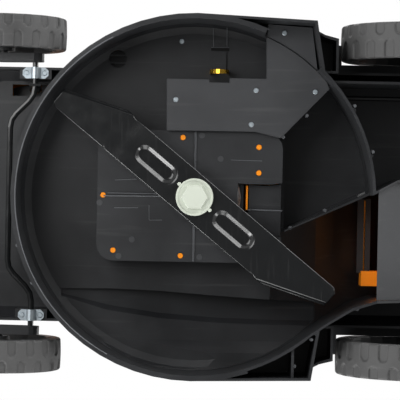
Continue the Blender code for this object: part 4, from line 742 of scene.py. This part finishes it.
def lines(runs, z=None, lift=0.1):
    """Points and edges of several polylines given by pixels, laid on the surface they are seen on."""
    points, edges = [], []
    for run in runs:
        for k, (px, py) in enumerate(run):
            x, y = seen(px, py, z if z is not None else 90)
            height = surface_below(x, y) if z is None else z
            x, y = seen(px, py, height)
            points.append(at(x, y, height - lift))
            if k:
                edges.append((len(points) - 2, len(points) - 1))
    return points, edges


# Ribs and pins in the paler black carry a painted highlight; ribs in the cover's grey keep that grey.
ribs_painted_highlight = rib_tree(highlight_painted_black, "rib_painted_highlight")
ribs_cover = rib_tree(cover_abs, "rib_cover")
marks_black = mark_tree(highlight_painted_black, "mark_black")
marks_tray = mark_tree(cover_abs, "mark_tray")
print("trees", len(bpy.data.node_groups))


# %% The cover with its open corner
def prism(shape, outline, low, high):
    """Adds an upright prism over an outline in millimetres."""
    rows = [[shape.verts.new(at(x, y, z)) for x, y in outline] for z in (low, high)]
    for k in range(len(outline)):
        shape.faces.new((rows[0][k - 1], rows[0][k], rows[1][k], rows[1][k - 1]))
    shape.faces.new(rows[0][::-1])
    shape.faces.new(rows[1])
    return shape


def plain_copy(node):
    """A merged copy of a solid's mesh."""
    shape = bmesh.new()
    shape.from_mesh(nodes[node].data)
    bmesh.ops.remove_doubles(shape, verts=shape.verts, dist=1e-6)
    bmesh.ops.dissolve_limit(shape, angle_limit=0.002, verts=shape.verts, edges=shape.edges)
    return shape


cover = closed("well_cover", plain_copy("motor_well_cover"), tray_polypropylene)
knife_shape = prism(bmesh.new(), [(-51.6, -46), (-51.6, 17.6), (-84, 15.6), (-120, 21.5), (-120, -46)], 60, 130)
knife = closed("knife", knife_shape, tray_polypropylene)
cut = cover.modifiers.new("corner", "BOOLEAN")
cut.operation, cut.solver, cut.object = "DIFFERENCE", "EXACT", knife
cover_mesh = evaluated(cover)
cover_mesh.shade_flat()
cover.modifiers.clear()
cover.data = cover_mesh
bpy.data.objects.remove(knife)
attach(cover, "deck")
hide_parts("motor_well_cover")
print("cover faces", len(cover_mesh.polygons))

# %% The recess beside it
RECESS_LOW, RECESS_HIGH = 88, 109
recess = bmesh.new()
prism(recess, [(-51.9, -45.5), (-58.8, -45.5), (-58.8, 16.6), (-51.9, 17.1)], RECESS_LOW, RECESS_HIGH)
prism(recess, [(-65.2, -45.5), (-104.2, -45.5), (-104.2, 17.2), (-84, 15.2), (-65.2, 16.4)], RECESS_LOW, RECESS_HIGH)
prism(recess, [(-58.8, -45.5), (-65.2, -45.5), (-65.2, -17.2), (-58.8, -17.2)], RECESS_LOW, RECESS_HIGH)
closed("well_recess", recess, black_polypropylene, "deck")
# The rib takes the paler black, a painted highlight along it.
points, edges = lines([[(246, 209.6), (282, 210.8)]], 87.6)
grown("well_rib", ribs_painted_highlight, points, "deck", "black_plastic", edges, Radius=0.0008)
print("recess closed")

# %% Ribs and marks on the cover
# The ribs and lines take the paler black, a painted highlight along them; the marks take the side cover's grey.
tray_level = surface_below(10, 70)
points, edges = lines([[(195.4, 132), (195.4, 170)], [(193.2, 225), (193.2, 261)], [(103.4, 195.6), (160, 196.2)]],
                      tray_level)
grown("cover_ribs", ribs_painted_highlight, points, "deck", "dark_grey_plastic", edges, Radius=0.0008)
points, edges = lines([[(115, 180), (137, 179)], [(114, 207.7), (138, 207.7)], [(149, 205), (149, 220), (162, 220)],
                       [(231, 160), (262, 161)]], tray_level)
grown("cover_lines", ribs_painted_highlight, points, "deck", "dark_grey_plastic", edges, Radius=0.0004)
places = [at(*seen(px, py, tray_level), tray_level - 0.2) for px, py in
          ((202, 135.5), (220.5, 159), (99.5, 202.5), (131.7, 239.3), (118.3, 256), (199.4, 257))]
grown("cover_marks", marks_tray, places, "deck", "dark_grey_plastic", Radius=0.0040)
print("cover level", round(tray_level, 1))


# %% A fine edge round each cover
def rim_of(name, node, source, tree, slot, away_from=(), radius=0.0005):
    """A bead along the lowest outline of a mesh, where the moulded edge is rounded and catches the light."""
    shape = bmesh.new()
    shape.from_mesh(source)
    bmesh.ops.remove_doubles(shape, verts=shape.verts, dist=1e-6)
    low = min(v.co.z for v in shape.verts)
    level = {face for face in shape.faces if all(abs(v.co.z - low) < 2e-5 for v in face.verts)}
    points, edges = [], []
    for edge in shape.edges:
        if sum(face in level for face in edge.link_faces) != 1:
            continue
        ends = [v.co.copy() for v in edge.verts]
        if any((end - place).length < 0.006 for end in ends for place in away_from):
            continue
        points += [end + Vector((0, 0, radius * 0.5)) for end in ends]
        edges.append((len(points) - 2, len(points) - 1))
    shape.free()
    grown(name, tree, points, "deck", slot, edges, Radius=radius, Sides=6)
    print(name, len(edges))


pegs = [at(x, y, tray_level) for x, y in
        ((15.2, 71.4), (-76.3, 61.4), (-76.6, 30.5), (110.0, 0.5), (96.8, -65.6), (15.8, -70.7))]
# The well cover's edge takes the paler black, a painted highlight; the grey covers' edges keep their own grey.
rim_of("well_cover_edge", "motor_well_cover", cover_mesh, ribs_painted_highlight, "dark_grey_plastic", pegs)
rim_of("side_cover_edge", "side_cover_plate", nodes["side_cover_plate"].data, ribs_cover, "grey_plastic")
rim_of("corner_cover_edge", "corner_cover", nodes["corner_cover"].data, ribs_cover, "grey_plastic")

# %% [markdown]
# A guard over the slot in which the height link moves keeps grass out of the hood. It is a small black channel, and it
# hides the inside of the orange hood from below.

# %% Link guard
guard = bmesh.new()
prism(guard, [(185, 117.5), (226, 117.5), (226, 136), (185, 136)], 143.2, 144.4)
closed("link_guard", guard, black_polypropylene, "deck")
print("guard laid")

# %% [markdown]
# ## Edges and pins of the deck
# The deck's rim and its inner walls end in a narrow moulded edge, painted paler than the faces as a painted highlight
# of the light it catches. Beside the walls stand small round pins, where the mould pushed the part out; their tops
# carry the same painted highlight. Edges are swept lines again and pins are marks made tall.

# %% Edges of the deck
RIM_LOW, RIM_RADIUS = 28.0, 211.4
points = [at(RIM_RADIUS * math.cos(a), RIM_RADIUS * math.sin(a), RIM_LOW + 0.3)
          for a in np.radians(np.linspace(-62, 62, 81))]
edges = [(k, k + 1) for k in range(len(points) - 1)]
grown("rim_edge", ribs_painted_highlight, points, "deck", "black_plastic", edges, Radius=0.0007)
points, edges = lines([[(250, 20.5), (252, 28), (266, 34)], [(213.6, 27), (213.6, 46.5)], [(227, 27), (227, 46.5)],
                       [(211, 47.4), (229, 47.4)]])
grown("ceiling_ribs", ribs_painted_highlight, points, "deck", "black_plastic", edges, Radius=0.0005)
# The channel lies in deep shade, so it takes the mattest black.
channel = bmesh.new()
x0, y0 = seen(229, 51, 108)
x1, y1 = seen(211, 47.6, 108)
prism(channel, [(x0, y0), (x1, y0), (x1, y1), (x0, y1)], 109.0, 109.9)
closed("latch_slot", channel, soft_foam, "deck")
tongue = bmesh.new()
x0, y0 = seen(226, 69.5, 106)
x1, y1 = seen(214.4, 51.5, 106)
prism(tongue, [(x0, y0), (x1, y0), (x1, y1), (x0, y1)], 107.6, 109.9)
closed("latch_tongue", tongue, black_polypropylene, "deck")
print("edges laid")

# %% Pins beside the walls
RIM_PIN_LEVEL, WALL_PIN_LOWEST = 31, 29.0
rim_pins = [(40.8, 99.7), (21.7, 141.3), (12.5, 193.2), (17.2, 245.3), (31.9, 282.9)]
places = [at(*seen(px, py, RIM_PIN_LEVEL), RIM_PIN_LEVEL) for px, py in rim_pins]
grown("rim_pins", marks_black, places, "deck", "black_plastic", Radius=0.0024, Height=0.015)
wall_pins = [(355.4, 77.2), (355, 105.9), (373.1, 151.8), (307.1, 115.4), (283.5, 136.9), (290.6, 228), (325, 210.5),
             (357.5, 309.3), (316.3, 334.6), (311.6, 339.7), (263.4, 369), (294.4, 366.5)]
places = []
for px, py in wall_pins:
    nearest = min(surface_below(*seen(px + dx, py + dy, 40)) for dx in (-3, 0, 3) for dy in (-3, 0, 3))
    nearest = max(nearest, WALL_PIN_LOWEST)
    places.append(at(*seen(px, py, nearest + 2), nearest + 2))
grown("wall_pins", marks_black, places, "deck", "black_plastic", Radius=0.0022, Height=0.016)
print("pins", len(rim_pins) + len(wall_pins), [round(p.z * 1000) for p in places])

# %% [markdown]
# A closed arch stands over the gap between each rear wheel and the deck, so no light shows through it from below. It
# is a thin panel bent down in front of the wheel, clear of the arm that lifts the wheel.

# %% Rear wheel arches
for side, outward in (("left", 1), ("right", -1)):
    arch = bmesh.new()
    plan = [(-334, 155.4), (-334, 167.0), (-178.5, 167.0), (-178.5, 190.5), (-160, 194.5), (-160, 155.4)]
    prism(arch, [(x, outward * y) for x, y in plan], 150.0, 152.0)
    closed(f"wheel_arch_{side}", arch, black_polypropylene, "deck")
# The two black sheets in the tunnel are painted shade: they lie over the orange plug's fin on both sides and leave only
# a narrow strip of it to show, dark as if in shadow.
shade = bmesh.new()
prism(shade, [(-199.5, -88.5), (-207.4, -88.5), (-207.4, 2), (-199.5, 2)], 120, 122)
prism(shade, [(-209.2, -88.5), (-215.5, -88.5), (-215.5, 2), (-209.2, 2)], 120, 122)
closed("tunnel_shade_sheet", shade, black_polypropylene, "deck")
print("arches and sill laid")

# %% The object's bounds and the colour view
low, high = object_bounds()
bpy.context.scene.view_settings.view_transform = "Standard"
